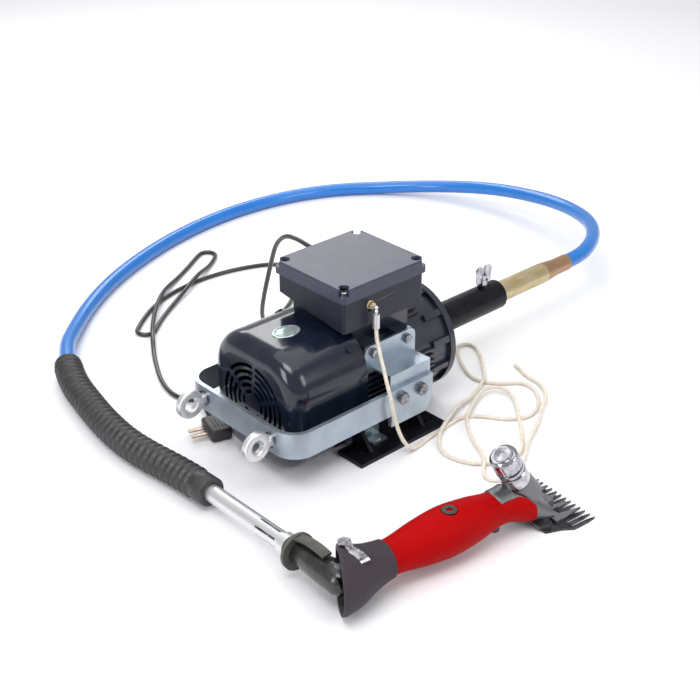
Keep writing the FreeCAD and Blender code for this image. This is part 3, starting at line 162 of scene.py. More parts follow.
def make_materials():
    return {
        "navy": material("navy_gloss_paint", (0.003, 0.006, 0.016), rough=0.2, gloss=0.35, coat=0.45,
                         rough_vary=0.06, bump=0.05, bump_scale=160, vary=0.4, second=(0.012, 0.016, 0.034)),
        "cast_navy": material("navy_cast_paint", (0.008, 0.011, 0.022), rough=0.32, coat=0.5, rough_vary=0.1,
                              bump=0.25, bump_scale=420, vary=0.6, second=(0.016, 0.02, 0.038)),
        "black_paint": material("black_gloss_paint", (0.004, 0.004, 0.006), rough=0.3, gloss=0.15, coat=0.08,
                                rough_vary=0.08, bump=0.12, bump_scale=300, vary=0.5,
                                second=(0.012, 0.012, 0.017)),
        "lid": material("slate_satin_paint", (0.034, 0.036, 0.066), rough=0.38, gloss=0.4, coat=0.1,
                        rough_vary=0.06, bump=0.12, bump_scale=900, vary=0.35, second=(0.046, 0.048, 0.080)),
        # Same slate paint as the lid, made darker: painted shade on the terminal box's sides.
        "box": material("slate_paint_painted_side_shade", (0.013, 0.014, 0.026), rough=0.42, gloss=0.3, coat=0.05,
                        rough_vary=0.06, bump=0.12, bump_scale=900, vary=0.35, second=(0.020, 0.021, 0.036)),
        "zinc": material("galvanised_plate", (0.44, 0.50, 0.56), rough=0.34, metal=0.9, rough_vary=0.1,
                         vary=0.55, vary_scale=35, second=(0.30, 0.35, 0.43), bump=0.06, bump_scale=250),
        "steel": material("bright_steel", (0.62, 0.63, 0.65), rough=0.24, metal=1.0, rough_vary=0.1,
                          vary=0.6, vary_scale=120, second=(0.33, 0.34, 0.37), bump=0.04, bump_scale=500),
        "chrome": material("chrome_plate", (0.58, 0.58, 0.61), rough=0.14, metal=1.0, rough_vary=0.08,
                           vary=0.8, vary_scale=110, second=(0.26, 0.26, 0.29), bump=0.1, bump_scale=260),
        # Chrome mottled with dark patches: painted dark reflections.
        "fastener": material("chrome_painted_dark_reflections", (0.40, 0.40, 0.42), rough=0.2, metal=1.0, rough_vary=0.1,
                             vary=0.9, vary_scale=260, second=(0.10, 0.10, 0.11), bump=0.1, bump_scale=300),
        "dark_steel": material("dark_steel", (0.022, 0.022, 0.025), rough=0.26, metal=0.85, rough_vary=0.12,
                               vary=0.5, vary_scale=140, second=(0.085, 0.085, 0.09), bump=0.1,
                               bump_scale=700),
        "copper": material("winding_copper", (0.5, 0.22, 0.1), rough=0.4, metal=0.8, vary=0.6, vary_scale=300,
                           bump=0.3, bump_scale=900),
        "iron": material("lamination_iron", (0.16, 0.16, 0.165), rough=0.5, metal=0.7, vary=0.5,
                         stretch=(20, 1, 1), bump=0.2),
        "brass": material("ferrule_brass", (0.52, 0.40, 0.20), rough=0.36, metal=0.85, rough_vary=0.1,
                          vary=0.6, vary_scale=45, second=(0.62, 0.56, 0.42), stretch=(1, 3, 3), bump=0.08,
                          bump_scale=300),
        "crimp": material("crimp_copper", (0.50, 0.30, 0.19), rough=0.38, metal=0.8, rough_vary=0.12,
                          vary=0.8, vary_scale=55, second=(0.72, 0.55, 0.43), bump=0.12, bump_scale=260),
        "hose": material("blue_hose", (0.006, 0.150, 0.52), rough=0.24, coat=0.3, rough_vary=0.05, vary=0.35,
                         vary_scale=18, second=(0.012, 0.20, 0.62), bump=0.03, bump_scale=120),
        "rubber": material("ribbed_rubber", (0.016, 0.016, 0.018), rough=0.48, rough_vary=0.12, vary=0.5,
                           vary_scale=110, second=(0.04, 0.04, 0.043), bump=0.12, bump_scale=600, coat=0.1),
        "cord": material("cord_sheath", (0.010, 0.010, 0.011), rough=0.3, coat=0.3, rough_vary=0.08, vary=0.5,
                         second=(0.025, 0.025, 0.028), bump=0.05, bump_scale=500),
        "plug": material("plug_moulding", (0.022, 0.019, 0.018), rough=0.42, rough_vary=0.1, vary=0.5,
                         second=(0.05, 0.043, 0.04), bump=0.1, bump_scale=700),
        "blade": material("plug_blade", (0.36, 0.27, 0.2), rough=0.32, metal=0.8, vary=0.6, vary_scale=200,
                          second=(0.55, 0.46, 0.38)),
        "plastic": material("black_plastic", (0.014, 0.014, 0.016), rough=0.45, rough_vary=0.1, vary=0.4,
                            second=(0.03, 0.03, 0.033), bump=0.1, bump_scale=700),
        "white": material("capacitor_case", (0.7, 0.7, 0.66), rough=0.5, vary=0.3, bump=0.05),
        "cotton": material("cotton_rope", (0.80, 0.74, 0.64), rough=0.92, vary=0.6, vary_scale=170,
                           second=(0.62, 0.54, 0.42), bump=0.5, bump_scale=1500, sheen=0.4),
        "leather": material("olive_leather", (0.055, 0.052, 0.045), rough=0.55, rough_vary=0.12, vary=0.7,
                            vary_scale=70, second=(0.11, 0.105, 0.09), bump=0.35, bump_scale=500),
        "cup": material("grey_rubber_cup", (0.046, 0.036, 0.045), rough=0.62, gloss=0.2,
                        rough_vary=0.08, vary=0.35, vary_scale=80, second=(0.036, 0.028, 0.034),
                        bump=0.22, bump_scale=650),
        "cup_inside": material("cup_inside", (0.055, 0.05, 0.045), rough=0.7, vary=0.7, vary_scale=90,
                               second=(0.03, 0.027, 0.025), bump=0.3, bump_scale=500),
        "red": material("red_grip", (0.38, 0.001, 0.0018), rough=0.5, rough_vary=0.08, vary=0.45,
                        vary_scale=22, second=(0.29, 0.0008, 0.0014), bump=0.08, bump_scale=450, gloss=0.05),
        "cast": material("cast_head", (0.008, 0.0075, 0.008), rough=0.26, rough_vary=0.1, coat=0.12,
                         vary=0.5, vary_scale=90, second=(0.016, 0.015, 0.016), bump=0.16, bump_scale=420,
                         gloss=0.2),
        "knuckle": material("knuckle_black", (0.018, 0.017, 0.017), rough=0.28, metal=0.3, coat=0.3,
                            rough_vary=0.1, vary=0.6, second=(0.05, 0.05, 0.05), bump=0.1, bump_scale=300),
        "comb_steel": material("comb_steel", (0.030, 0.030, 0.034), rough=0.26, metal=0.9, rough_vary=0.1,
                               vary=0.6, vary_scale=70, second=(0.17, 0.17, 0.18), bump=0.06, bump_scale=500),
        "aluminium": material("aluminium", (0.6, 0.6, 0.62), rough=0.35, metal=0.9, vary=0.4, bump=0.08),
        "badge": material("badge_foil", (0.72, 0.76, 0.78), rough=0.22, metal=0.7, rough_vary=0.1, vary=1.0,
                          vary_scale=190, second=(0.42, 0.62, 0.58), bump=0.3, bump_scale=260),
    }


CAD_LOOKS = {
    "navy": ("fan_cover", "cover_screws"),
    "cast_navy": ("motor_frame", "front_endshield", "rear_endshield"),
    "black_paint": ("nose_sleeve", "foot_left", "foot_right"),
    "lid": ("box_lid",),
    "box": ("terminal_box",),
    "zinc": ("hanger_bracket", "side_plate_right", "side_plate_left", "foot_clips"),
    "steel": ("shaft_bearings", "rotor_shaft", "drive_core_tip", "pull_chain", "foot_bolts",
              "eye_bolts", "handle_tube", "tension_pin", "fulcrum_post", "crank_spindle"),
    "fastener": ("bracket_bolts", "plate_bolts", "eye_bolt_nuts", "cup_bolt"),
    "chrome": ("lid_screws", "lock_screw"),
    "dark_steel": ("fork", "chicken_feet", "cutter", "comb_screws", "elbow_pins", "input_gear"),
    "copper": ("stator",),
    "iron": ("rotor_core",),
    "plastic": ("cooling_fan", "pull_switch", "cable_gland", "box_gasket"),
    "brass": ("hose_ferrule", "spindle_bushes"),
    "crimp": ("crimp_sleeve",),
    "white": ("run_capacitor",),
    "leather": ("guard_ring",),
    "aluminium": ("barrel",),
    "knuckle": ("elbow_yoke", "grip_screws"),
    "cast": ("head_casing",),
    "comb_steel": ("comb",),
}


def dress_cad_nodes():
    for look, names in CAD_LOOKS.items():
        for name in names:
            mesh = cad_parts[name].data
            mesh.materials.clear()
            mesh.materials.append(LOOKS[look])


# ---------------------------------------------------------------- mesh helpers

def new_mesh(name, points, faces, smooth=False):
    mesh = bpy.data.meshes.new(name)
    mesh.from_pydata([tuple(p) for p in points], [], faces)
    mesh.update()
    if smooth:
        mesh.polygons.foreach_set("use_smooth", [True] * len(mesh.polygons))
    made = bpy.data.objects.new(name, mesh)
    bpy.context.scene.collection.objects.link(made)
    return made


def finish_piece(piece, look, body, replaces=()):
    """Gives a piece its material and body, and hides the CAD nodes that it stands for."""
    if look:
        piece.data.materials.append(LOOKS[look])
    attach(piece, body)
    if replaces:
        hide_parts(*replaces)
    return piece


def nurbs_curve(name, points):
    """Smooth curve with the route's points as its control points."""
    curve = bpy.data.curves.new(name, "CURVE")
    curve.dimensions = "3D"
    curve.resolution_u = 10
    spline = curve.splines.new("NURBS")
    spline.points.add(len(points) - 1)
    for control, point in zip(spline.points, points):
        control.co = (*point, 1)
    spline.order_u = 3
    spline.use_endpoint_u = True
    made = bpy.data.objects.new(name, curve)
    bpy.context.scene.collection.objects.link(made)
    return made


def curve_line(points):
    """Points along the smooth curve, read from a curve with no bevel."""
    guide = nurbs_curve("guide", points)
    mesh = bpy.data.meshes.new_from_object(guide)
    line = [v.co.copy() for v in mesh.vertices]
    bpy.data.meshes.remove(mesh)
    bpy.data.objects.remove(guide)
    return line


class Path:
    """A polyline with a frame that doesn't twist, read at any distance along it."""

    def __init__(self, line):
        self.line = line
        self.at = [0.0]
        for a, b in zip(line, line[1:]):
            self.at.append(self.at[-1] + (b - a).length)
        self.length = self.at[-1]
        self.tangents = [(line[min(i + 1, len(line) - 1)] - line[max(i - 1, 0)]).normalized()
                         for i in range(len(line))]
        side = self.tangents[0].orthogonal().normalized()
        self.sides = []
        for tangent in self.tangents:
            side = (side - tangent * side.dot(tangent)).normalized()
            self.sides.append(side)

    def frame(self, s):
        s = min(max(s, 0.0), self.length)
        i = min(max(bisect.bisect_right(self.at, s) - 1, 0), len(self.line) - 2)
        t = (s - self.at[i]) / max(self.at[i + 1] - self.at[i], 1e-9)
        point = self.line[i].lerp(self.line[i + 1], t)
        tangent = self.tangents[i].lerp(self.tangents[i + 1], t).normalized()
        side = self.sides[i].lerp(self.sides[i + 1], t)
        side = (side - tangent * side.dot(tangent)).normalized()
        return point, side, tangent.cross(side)


def skin(name, rings, closed=False, caps=True):
    """Mesh over a list of rings of points."""
    count = len(rings[0])
    points = [p for ring in rings for p in ring]
    faces = []
    last = len(rings) if closed else len(rings) - 1
    for i in range(last):
        a, b = i * count, (i + 1) % len(rings) * count
        for j in range(count):
            k = (j + 1) % count
            faces.append((a + j, a + k, b + k, b + j))
    if caps and not closed:
        faces.append(tuple(reversed(range(count))))
        faces.append(tuple(range(len(points) - count, len(points))))
    return new_mesh(name, points, faces, smooth=True)


def turned_along(name, path, profile, count=48, closed=False):
    """Solid turned round a path, from pairs of distance along it and radius."""
    rings = []
    for s, radius in profile:
        point, side, up = path.frame(s)
        rings.append([point + (side * math.cos(a) + up * math.sin(a)) * radius for a in circle_angles(count)])
    return skin(name, rings, closed=closed)


def sharpen(piece, degrees=35):
    """Keeps crisp edges on a smooth-shaded mesh."""
    piece.data.set_sharp_from_angle(angle=math.radians(degrees))
    return piece


# ---------------------------------------------------------------- cords and hose

HOSE_POINTS = mm([
    (395, 0, 76.5), (424, 0, 76.5), (462, 12, 76.5), (503, 36, 73), (541, 70, 68), (572, 116, 61),
    (593, 174, 54), (602, 240, 45), (600, 304, 36), (587, 364, 26), (558, 424, 17), (512, 480, 11),
    (452, 527, 10), (380, 556, 10), (300, 568, 10), (220, 565, 10), (138, 549, 10), (60, 522, 10),
    (-14, 487, 10), (-80, 443, 10), (-136, 392, 13), (-180.6, 343.8, 18), (-207.7, 288, 18)])
GUARD_POINTS = mm([(-199, 306, 18), (-216, 271, 18), (-230, 212, 18), (-242, 150, 18), (-246, 90, 18),
                   (-235.5, 4.9, 19), (-237, -40, 21.5)])
MAINS_POINTS = mm([
    (25, 77, 180), (25, 98, 180), (28, 124, 181), (32, 152, 176), (36, 175, 157), (42, 192, 128),
    (46, 206, 97), (48, 218, 66), (53, 231, 35), (64, 242, 9), (92, 250, 3), (124, 263, 3), (156, 286, 3),
    (184, 316, 3), (206, 347, 3), (210, 372, 3), (194, 389, 3), (168, 401, 3), (134, 411, 3), (98, 415, 3),
    (60, 413, 3), (22, 405, 3), (-16, 388, 3), (-46, 367, 3), (-60, 355, 3), (-69, 347, 3),
    (-71.5, 339, 3), (-68.5, 331, 3), (-61.5, 327, 3), (-53.5, 328, 3), (-41, 339, 3), (-18, 357, 3),
    (18, 380, 4), (48, 396, 7), (68, 408, 9.6), (92, 422, 9.6), (120, 439, 4), (140, 453, 3), (155, 466, 3),
    (158, 474, 3), (156, 482, 3), (149, 487, 3), (141, 487, 3), (126, 478, 3), (100, 461, 3), (66, 441, 3),
    (34, 422, 6), (12, 403, 9.6), (-8, 385, 9.6), (-30, 361, 9.6), (-52, 334, 9.6), (-68, 311, 9.6),
    (-88, 281, 3), (-107, 247, 3), (-123, 214, 3), (-131, 184, 3), (-129, 161, 4), (-119.8, 136.9, 7.5),
    (-127, 114, 7.5)])
ROPE_POINTS = mm([
    (-22, -65, 160), (-22, -65, 141), (-25, -76, 121), (-31, -92, 99), (-32, -102, 74), (-27, -104, 47),
    (-18, -106, 22), (-4, -107, 4), (15, -104, 2.5), (34, -100, 2.5), (54, -98.5, 2.5), (74, -96, 2.5),
    (94, -96, 2.5), (111, -109, 2.5), (126, -135, 2.5), (148, -150, 2.5), (172, -146, 2.5),
    (194, -129, 2.5), (207, -110, 2.5), (207, -92, 2.5), (192, -81, 2.5), (176, -66, 2.5), (168, -44, 2.5),
    (180, -16, 2.5), (198, 10, 2.5), (211, 25, 2.5), (219, 28, 2.5), (227, 25.5, 2.5), (232, 19, 2.5),
    (232, 11, 2.5), (224, -3, 2.5), (209, -22, 2.5), (193, -38, 4.5), (176, -56, 8.4), (158, -66, 8.4),
    (134, -75, 4), (106, -79, 8.4), (82, -88, 8.4), (62, -97, 8.4), (42, -106, 6), (26, -121, 2.5),
    (18, -140, 2.5), (24, -166, 2.5), (40, -184, 2.5), (62, -196, 2.5), (84, -195, 2.5), (104, -181, 2.5),
    (124, -160, 6), (138, -144, 8.4), (154, -128, 6), (170, -108, 4), (175, -94, 6), (168, -82, 8.4),
    (150, -76, 8.4), (128, -84, 8.4), (108, -95, 8.4), (90, -104, 8.4), (76, -120, 6), (62, -142, 4),
    (50, -164, 6), (38, -182, 8.4), (25, -190, 6), (19, -198, 4), (19, -207, 2.5), (25, -213, 2.5),
    (35, -216, 2.5), (52, -215, 2.5), (75, -208, 5), (98, -192, 8.4), (120, -180, 6), (146, -168, 4),
    (169, -153, 8.4), (191, -142, 8.4), (211, -125, 4), (222, -106, 2.5), (222, -87, 2.5),
    (229, -71, 2.5), (234, -56, 2.5)])


def round_cord(name, points, radius):
    piece = nurbs_curve(name, points)
    piece.data.bevel_depth = radius
    piece.data.bevel_resolution = 8
    piece.data.use_fill_caps = True
    return piece


def make_hose():
    hose = round_cord("hose_blue", HOSE_POINTS, 0.010)
    finish_piece(hose, "hose", "motor", ["drive_hose"])


def make_bend_guard():
    """Soft ribs along the rubber guard, a plain collar at its tube end and an open mouth."""
    path = Path(curve_line(GUARD_POINTS))
    pocket, collar, lip, ribs = 0.020, 0.026, 0.006, 32
    profile = [(pocket, 0.0101), (0.001, 0.0101), (0.0, 0.0115), (0.0, 0.0160), (0.001, 0.0170),
               (lip, 0.0172)]
    pitch = (path.length - collar - lip) / ribs
    for i in range(ribs):
        for part, radius in ((0.10, 0.0156), (0.24, 0.0160), (0.42, 0.0176), (0.58, 0.01795), (0.74, 0.0178),
                             (0.92, 0.0162)):
            profile.append((lip + (i + part) * pitch, radius))
    end = path.length
    profile += [(end - collar + 0.001, 0.0160), (end - collar + 0.004, 0.0166), (end - 0.002, 0.0166),
                (end, 0.0152), (end, 0.0105), (end - 0.001, 0.00985), (end - pocket, 0.00985)]
    guard = turned_along("bend_guard_ribs", path, profile, count=56)
    finish_piece(guard, "rubber", "motor", ["bend_guard"])


def make_mains():
    plug_pieces = make_mains_plug()
    cord = round_cord("mains_lead", MAINS_POINTS, 0.003)
    finish_piece(cord, "cord", "motor", ["mains_cord"])


def rounded_box(name, size, centre, radius, segments=4):
    sx, sy, sz = (0.5 * c for c in size)
    corners = [Vector(centre) + Vector((x, y, z)) for x in (-sx, sx) for y in (-sy, sy) for z in (-sz, sz)]
    faces = [(0, 1, 3, 2), (4, 6, 7, 5), (0, 4, 5, 1), (2, 3, 7, 6), (0, 2, 6, 4), (1, 5, 7, 3)]
    made = new_mesh(name, corners, faces, smooth=True)
    bevel = made.modifiers.new("bevel", "BEVEL")
    bevel.width = radius
    bevel.segments = segments
    return made


def joined(name, pieces):
    """One object from several, modifiers applied."""
    graph = bpy.context.evaluated_depsgraph_get()
    whole = bmesh.new()
    for piece in pieces:
        mesh = bpy.data.meshes.new_from_object(piece.evaluated_get(graph))
        mesh.transform(piece.matrix_world)
        whole.from_mesh(mesh)
        bpy.data.meshes.remove(mesh)
        bpy.data.objects.remove(piece)
    mesh = bpy.data.meshes.new(name)
    whole.to_mesh(mesh)
    whole.free()
    mesh.polygons.foreach_set("use_smooth", [True] * len(mesh.polygons))
    made = bpy.data.objects.new(name, mesh)
    bpy.context.scene.collection.objects.link(made)
    return sharpen(made)


def make_mains_plug():
    """Flat moulded plug with finger ridges, a ribbed neck and two blades."""
    middle_z, neck_x, neck_y = 0.0075, 0.003, 0.040
    neck_radius, rib_pitch, rib_depth, taper = 0.0055, 0.0032, 0.0009, 0.00032
    turn = Matrix.Rotation(math.radians(-17.5), 4, "Z")
    place = Matrix.Translation(MAINS_POINTS[-1] - turn @ Vector((neck_x, neck_y, middle_z))) @ turn
    body = rounded_box("plug_core", (0.026, 0.040, 0.015), (0, 0, middle_z), 0.004, 5)
    ridges = [rounded_box("plug_ridge", (0.0012, 0.022, 0.0156), (x, 0, 0.0077), 0.0005, 2)
              for x in (-0.004, 0.0, 0.004, 0.008)]
    neck_line = Path([Vector((neck_x, y, middle_z)) for y in (0.018, 0.029, neck_y)])
    profile = [(0.0, neck_radius)]
    for i in range(6):
        at = 0.002 + i * rib_pitch
        radius = neck_radius - taper * i
        profile += [(at, radius), (at + 0.0016, radius), (at + 0.0018, radius - rib_depth),
                    (at + 0.0030, radius - rib_depth)]
    profile += [(0.022, 0.0036)]
    neck = turned_along("plug_neck", neck_line, profile, count=32)
    bpy.context.view_layer.update()
    plug = joined("mains_plug_body", [body, neck] + ridges)
    blades = joined("mains_plug_blades",
                    [rounded_box("blade", (0.021, 0.0064, 0.0016), (-0.0225, y, middle_z), 0.0006, 2)
                     for y in (-0.00635, 0.00635)])
    for piece, look in ((plug, "plug"), (blades, "blade")):
        piece.data.transform(place)
        finish_piece(piece, look, "motor", ["mains_plug"])
    return [plug, blades]


def make_rope():
    """Three twisted cotton strands."""
    line = curve_line(ROPE_POINTS)
    path = Path(line)
    lay, strands, sides, step = 0.0095, 3, 7, 0.0011
    off_centre, strand_radius, flattening = 0.00120, 0.00128, 1.1
    steps = int(path.length / step)
    points, faces = [], []
    for strand in range(strands):
        first = len(points)
        for i in range(steps + 1):
            s = path.length * i / steps
            centre, side, up = path.frame(s)
            turn = 2 * math.pi * (s / lay + strand / strands)
            out = side * math.cos(turn) + up * math.sin(turn)
            around = up * math.cos(turn) - side * math.sin(turn)
            tangent = side.cross(up)
            across = (around * 0.80 + tangent * 0.60).cross(out)
            middle = centre + out * off_centre
            for j in range(sides):
                a = 2 * math.pi * j / sides
                spoke = out * math.cos(a) + across * math.sin(a) * flattening
                points.append(middle + spoke * strand_radius)
        for i in range(steps):
            for j in range(sides):
                k = (j + 1) % sides
                a = first + i * sides
                faces.append((a + j, a + k, a + sides + k, a + sides + j))
        faces.append(tuple(first + j for j in reversed(range(sides))))
        faces.append(tuple(len(points) - sides + j for j in range(sides)))
    rope = new_mesh("cotton_rope_strands", points, faces, smooth=True)
    finish_piece(rope, "cotton", "motor", ["pull_rope"])


# ---------------------------------------------------------------- motor details

def make_badge():
    """Blank domed oval plate on the fan cover."""
    centre_x, centre_y, base_z = -0.098, -0.002, 0.1499
    half_x, half_y = 0.0175, 0.0125
    dome = ((1.0, 0.0), (1.0, 0.0007), (0.93, 0.0012), (0.88, 0.0009), (0.5, 0.0013), (0.02, 0.0014))
    rings = []
    for scale, z in dome:
        rings.append([Vector((centre_x + half_x * scale * math.cos(a),
                              centre_y + half_y * scale * math.sin(a), base_z + z))
                      for a in circle_angles(64)])
    badge = skin("oval_badge", rings)
    finish_piece(badge, "badge", "motor")


def make_box_trim():
    """Black bar that paints the shade in the recessed lever slot, a little askew, and the brass eyelet of the
    pull switch.
    """
    centre = Vector((0.001, -0.0546, 0.1785))
    # Thin black bar standing in for the shade inside the recessed slot: painted shade.
    slot = rounded_box("lever_slot_painted_shade", (0.026, 0.0012, 0.0028), centre, 0.0005, 3)
    slot.data.transform(Matrix.Translation(centre) @ Matrix.Rotation(math.radians(-4), 4, "Y")
                        @ Matrix.Translation(-centre))
    finish_piece(slot, "plastic", "motor")
    eyelet = Path([Vector((-0.022, -0.0545, 0.177)), Vector((-0.022, -0.058, 0.177)),
                   Vector((-0.022, -0.0615, 0.177))])
    brass = turned_along("lever_eyelet", eyelet, [(0.0, 0.0022), (0.0, 0.0050), (0.0012, 0.0052),
                                                  (0.0018, 0.0040), (0.0046, 0.0036), (0.0056, 0.0042),
                                                  (0.0062, 0.0036), (0.0062, 0.0022)], count=32)
    finish_piece(sharpen(brass), "brass", "motor")


# ---------------------------------------------------------------- hand piece

ELBOW = Vector((-0.244, -0.249, 0.033))
HAND = Matrix.Translation(ELBOW) @ Matrix.Rotation(math.radians(-6.7), 4, "Z")


def smooth_between(keys, x):
    """Values at x on a smooth curve through rows of (x, values...)."""
    i = max(j for j in range(len(keys) - 1) if keys[j][0] <= x or j == 0)
    a, b = keys[i], keys[i + 1]
    before = keys[i - 1] if i else a
    after = keys[i + 2] if i + 2 < len(keys) else b
    t = min(max((x - a[0]) / (b[0] - a[0]), 0.0), 1.0)
    values = []
    for k in range(1, len(a)):
        width = b[0] - a[0]
        slope_a = (b[k] - before[k]) / max(b[0] - before[0], 1e-9) * width
        slope_b = (after[k] - a[k]) / max(after[0] - a[0], 1e-9) * width
        values.append((2 * t ** 3 - 3 * t ** 2 + 1) * a[k] + (t ** 3 - 2 * t ** 2 + t) * slope_a
                      + (3 * t ** 2 - 2 * t ** 3) * b[k] + (t ** 3 - t ** 2) * slope_b)
    return values


GRIP_KEYS = [(48, 17.6, 17.6, 0), (68, 19.2, 19.2, 0), (98, 23.8, 23.8, 0), (130, 26.4, 26.4, 0),
             (164, 23.6, 23.6, 0), (189, 19.4, 19.4, 0), (205, 19.3, 19.3, 0), (220, 22.7, 22.2, -2),
             (236, 27.0, 20.2, -9.2), (244, 29.0, 17.5, -13)]


def on_grip(x, angle, lift=0.0):
    """Point on the outside of the grip, lifted off it."""
    half_y, half_z, rise = smooth_between(GRIP_KEYS, x)
    y, z = (half_y + lift) * math.cos(angle), (half_z + lift) * math.sin(angle) + rise
    return HAND @ (Vector((x, y, z)) * MM)


def grip_front(angle):
    """How far forward the red goes: short on top, a rounded tongue on the near flank."""
    edge, tongue, recess = 206, 27, 13
    tongue_middle, tongue_half, steepness = 186, 56, 2.6
    flank = 1 - abs(math.degrees(angle) - tongue_middle) / tongue_half
    if flank > 0:
        return edge + tongue * min(1.0, flank * steepness) ** 0.5
    return edge - recess * max(0.0, math.sin(angle)) ** 0.6


def make_grip():
    """Red shell with a countersunk seat on top; the head's saddle covers its front end."""
    count, steps, wall = 128, 96, 3.0
    rear, screw_x = GRIP_KEYS[0][0], 134
    seat_depth, seat_radius, seat_slope, far_away = 2.6, 8.2, 2.2, 99
    outer, inner = [], []
    for i in range(steps + 1):
        out_ring, in_ring = [], []
        for angle in circle_angles(count):
            x = rear + (grip_front(angle) - rear) * i / steps
            radius = smooth_between(GRIP_KEYS, x)[0]
            away = math.hypot(x - screw_x, radius * math.cos(angle)) if math.sin(angle) > 0 else far_away
            fade = 1.0 if away < seat_radius else max(0.0, 1 - (away - seat_radius) / seat_slope)
            rim = -0.9 if i == steps else 0.0
            out_ring.append(on_grip(x, angle, rim - seat_depth * fade))
            in_ring.append(on_grip(x, angle, -wall))
        outer.append(out_ring)
        inner.append(in_ring)
    grip = skin("grip_shell", outer + inner[::-1], closed=True)
    finish_piece(sharpen(grip, 50), "red", "hand_piece", ["grip"])


def make_saddle():
    """Black lip of the head that climbs over the top of the grip."""
    count, steps = 64, 10
    first_degree, sweep = -24, 158
    flank_back, climb, front = 207, 17, 213
    outer, inner = [], []
    for i in range(steps + 1):
        out_ring, in_ring = [], []
        for j in range(count + 1):
            angle = math.radians(first_degree + sweep * j / count)
            back = flank_back - climb * max(0.0, math.sin(angle)) ** 0.5
            x = back + (front - back) * i / steps
            edge = 2.6 if i == steps else 1.0 if i == 0 or j in (0, count) else 0.0
            out_ring.append(on_grip(x, angle, 1.3 - edge))
            in_ring.append(on_grip(x, angle, -1.0))
        outer.append(out_ring)
        inner.append(in_ring)
    rings = [a + b[::-1] for a, b in zip(outer, inner)]
    saddle = skin("head_saddle", rings)
    finish_piece(sharpen(saddle, 50), "cast", "hand_piece")


def make_guard_cup():
    """Flared rubber cup: oblique mouth, rolled lip and a neck over the grip."""
    keys = [(-26, 37, 4), (-10, 36, 3), (8, 32.5, 1), (32, 24.5, 0), (45, 21.6, 0), (54, 20.5, 0)]
    count, steps, wall = 112, 44, 2.9
    mouth_x, mouth_slope, mouth_radius, neck_bore = -1.9, 0.52, 34.0, 17.15
    neck_x = keys[-1][0]
    outer, inner = [], []
    for i in range(steps + 1):
        out_ring, in_ring = [], []
        for a in circle_angles(count):
            mouth = mouth_x + mouth_slope * math.cos(a) * mouth_radius
            x = mouth + (neck_x - mouth) * i / steps
            radius, rise = smooth_between(keys, x)
            rounding = min(1.0, (i + 0.35) / 2.0)
            radius_out = radius - wall * 0.5 * (1 - rounding)
            radius_in = max(neck_bore, radius - wall + wall * 0.35 * (1 - rounding))
            for ring, r in ((out_ring, radius_out), (in_ring, radius_in)):
                ring.append(HAND @ (Vector((x, r * math.cos(a), r * math.sin(a) + rise)) * MM))
        outer.append(out_ring)
        inner.append(in_ring)
    cup = skin("guard_cup_rubber", outer + inner[::-1], closed=True)
    cup.data.materials.append(LOOKS["cup"])
    cup.data.materials.append(LOOKS["cup_inside"])
    for face in cup.data.polygons:
        if face.index // count > steps:
            face.material_index = 1
    finish_piece(sharpen(cup, 60), None, "hand_piece", ["guard_cup"])


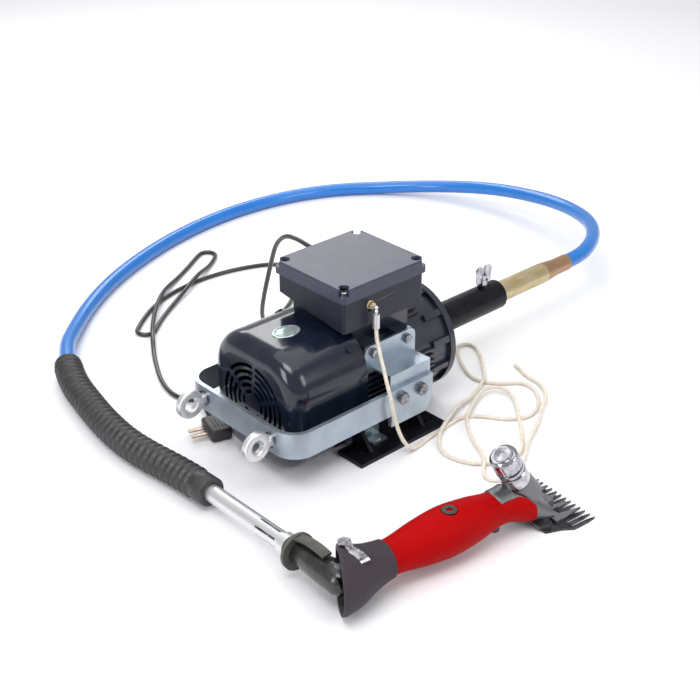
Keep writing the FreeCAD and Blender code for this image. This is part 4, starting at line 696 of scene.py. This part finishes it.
def make_tension_knob():
    """Chrome knob: plain skirt, two grooves, knurled cap and a recessed top with a relief ring."""
    lean = Matrix.Rotation(math.radians(-30), 4, "Y")
    place = HAND @ Matrix.Translation((0.224, 0, 0.024)) @ lean
    count, knurl_depth = 120, 0.45
    bands = [(0.3, 8.0, 0), (0.3, 14.6, 0), (1.0, 15.1, 0), (16.8, 15.1, 0), (17.6, 14.6, 0), (18.0, 13.2, 0),
             (20.2, 13.2, 0), (20.6, 15.3, 0), (24.6, 15.3, 0), (25.0, 13.0, 0), (27.2, 13.0, 0),
             (27.6, 15.3, 1), (41.6, 15.3, 1), (43.2, 14.6, 0), (44.8, 13.0, 0), (45.6, 11.8, 0),
             (45.2, 10.8, 0), (45.2, 9.0, 0), (46.6, 8.4, 0), (46.8, 3.4, 0), (45.8, 3.0, 0), (45.8, 0.05, 0)]
    rings = []
    for z, radius, knurl in bands:
        ring = []
        for j, a in enumerate(circle_angles(count)):
            r = radius - (knurl_depth if knurl and j % 6 < 2 else 0.0)
            ring.append(place @ (Vector((r * math.cos(a), r * math.sin(a), z)) * MM))
        rings.append(ring)
    knob = skin("tension_knob_chrome", rings)
    finish_piece(sharpen(knob, 30), "chrome", "tension_nut", ["tension_nut"])


def make_knuckle():
    """Round swivel knuckle, slotted on the hand piece's side for its two ears."""
    along = (GUARD_POINTS[-1] - ELBOW).normalized()
    side = Vector((0, 0, 1)).cross(along).normalized()
    up = along.cross(side)
    tube = Matrix.Translation(ELBOW) @ Matrix((along, side, up)).transposed().to_4x4()
    radius, count = 15.8, 72
    profile = [(-radius * math.cos(math.radians(a)), radius * math.sin(math.radians(a)))
               for a in range(4, 92, 8)]
    profile += [(8, 15.8), (18, 15.3), (30, 14.4), (46, 13.3), (49, 12.5), (74, 12.5)]
    rings = [[Vector((x, r * math.cos(a), r * math.sin(a))) * MM for a in circle_angles(count)]
             for x, r in profile]
    body = skin("knuckle_body", rings)
    slot = rounded_box("knuckle_slot", (0.036, 0.030, 0.0224), (-0.003, -0.0055, 0), 0.0005, 1)
    cut = body.modifiers.new("slot", "BOOLEAN")
    cut.object = slot
    cut.operation = "DIFFERENCE"
    bpy.context.view_layer.update()
    knuckle = joined("knuckle_shell", [body])
    bpy.data.objects.remove(slot)
    knuckle.data.transform(tube)
    finish_piece(knuckle, "knuckle", "swivel", ["elbow_yoke"])


def make_clamp_tab():
    """Bent steel tab under the cup's clamp screw."""
    half_width, thickness, tilt = 5.2, 1.2, 0.35
    section = ((-1, 0), (1, 0), (1, thickness), (-1, thickness))
    bend = ((10, 12, 32.2), (10, 4, 32.2), (10.5, -4, 32.4), (12, -8, 32.2), (14, -12, 30.4),
            (16, -16, 27.6), (17, -19, 25.2))
    rings = [[HAND @ (Vector((x + side * half_width, y + t * tilt, z + t)) * MM) for side, t in section]
             for x, y, z in bend]
    tab = skin("clamp_tab", rings)
    finish_piece(sharpen(tab), "fastener", "hand_piece")


add_camera()
LOOKS = make_materials()
add_stage()
dress_cad_nodes()
make_hose()
make_bend_guard()
make_mains()
make_rope()
make_badge()
make_box_trim()
make_grip()
make_saddle()
make_guard_cup()
make_tension_knob()
make_clamp_tab()
make_knuckle()
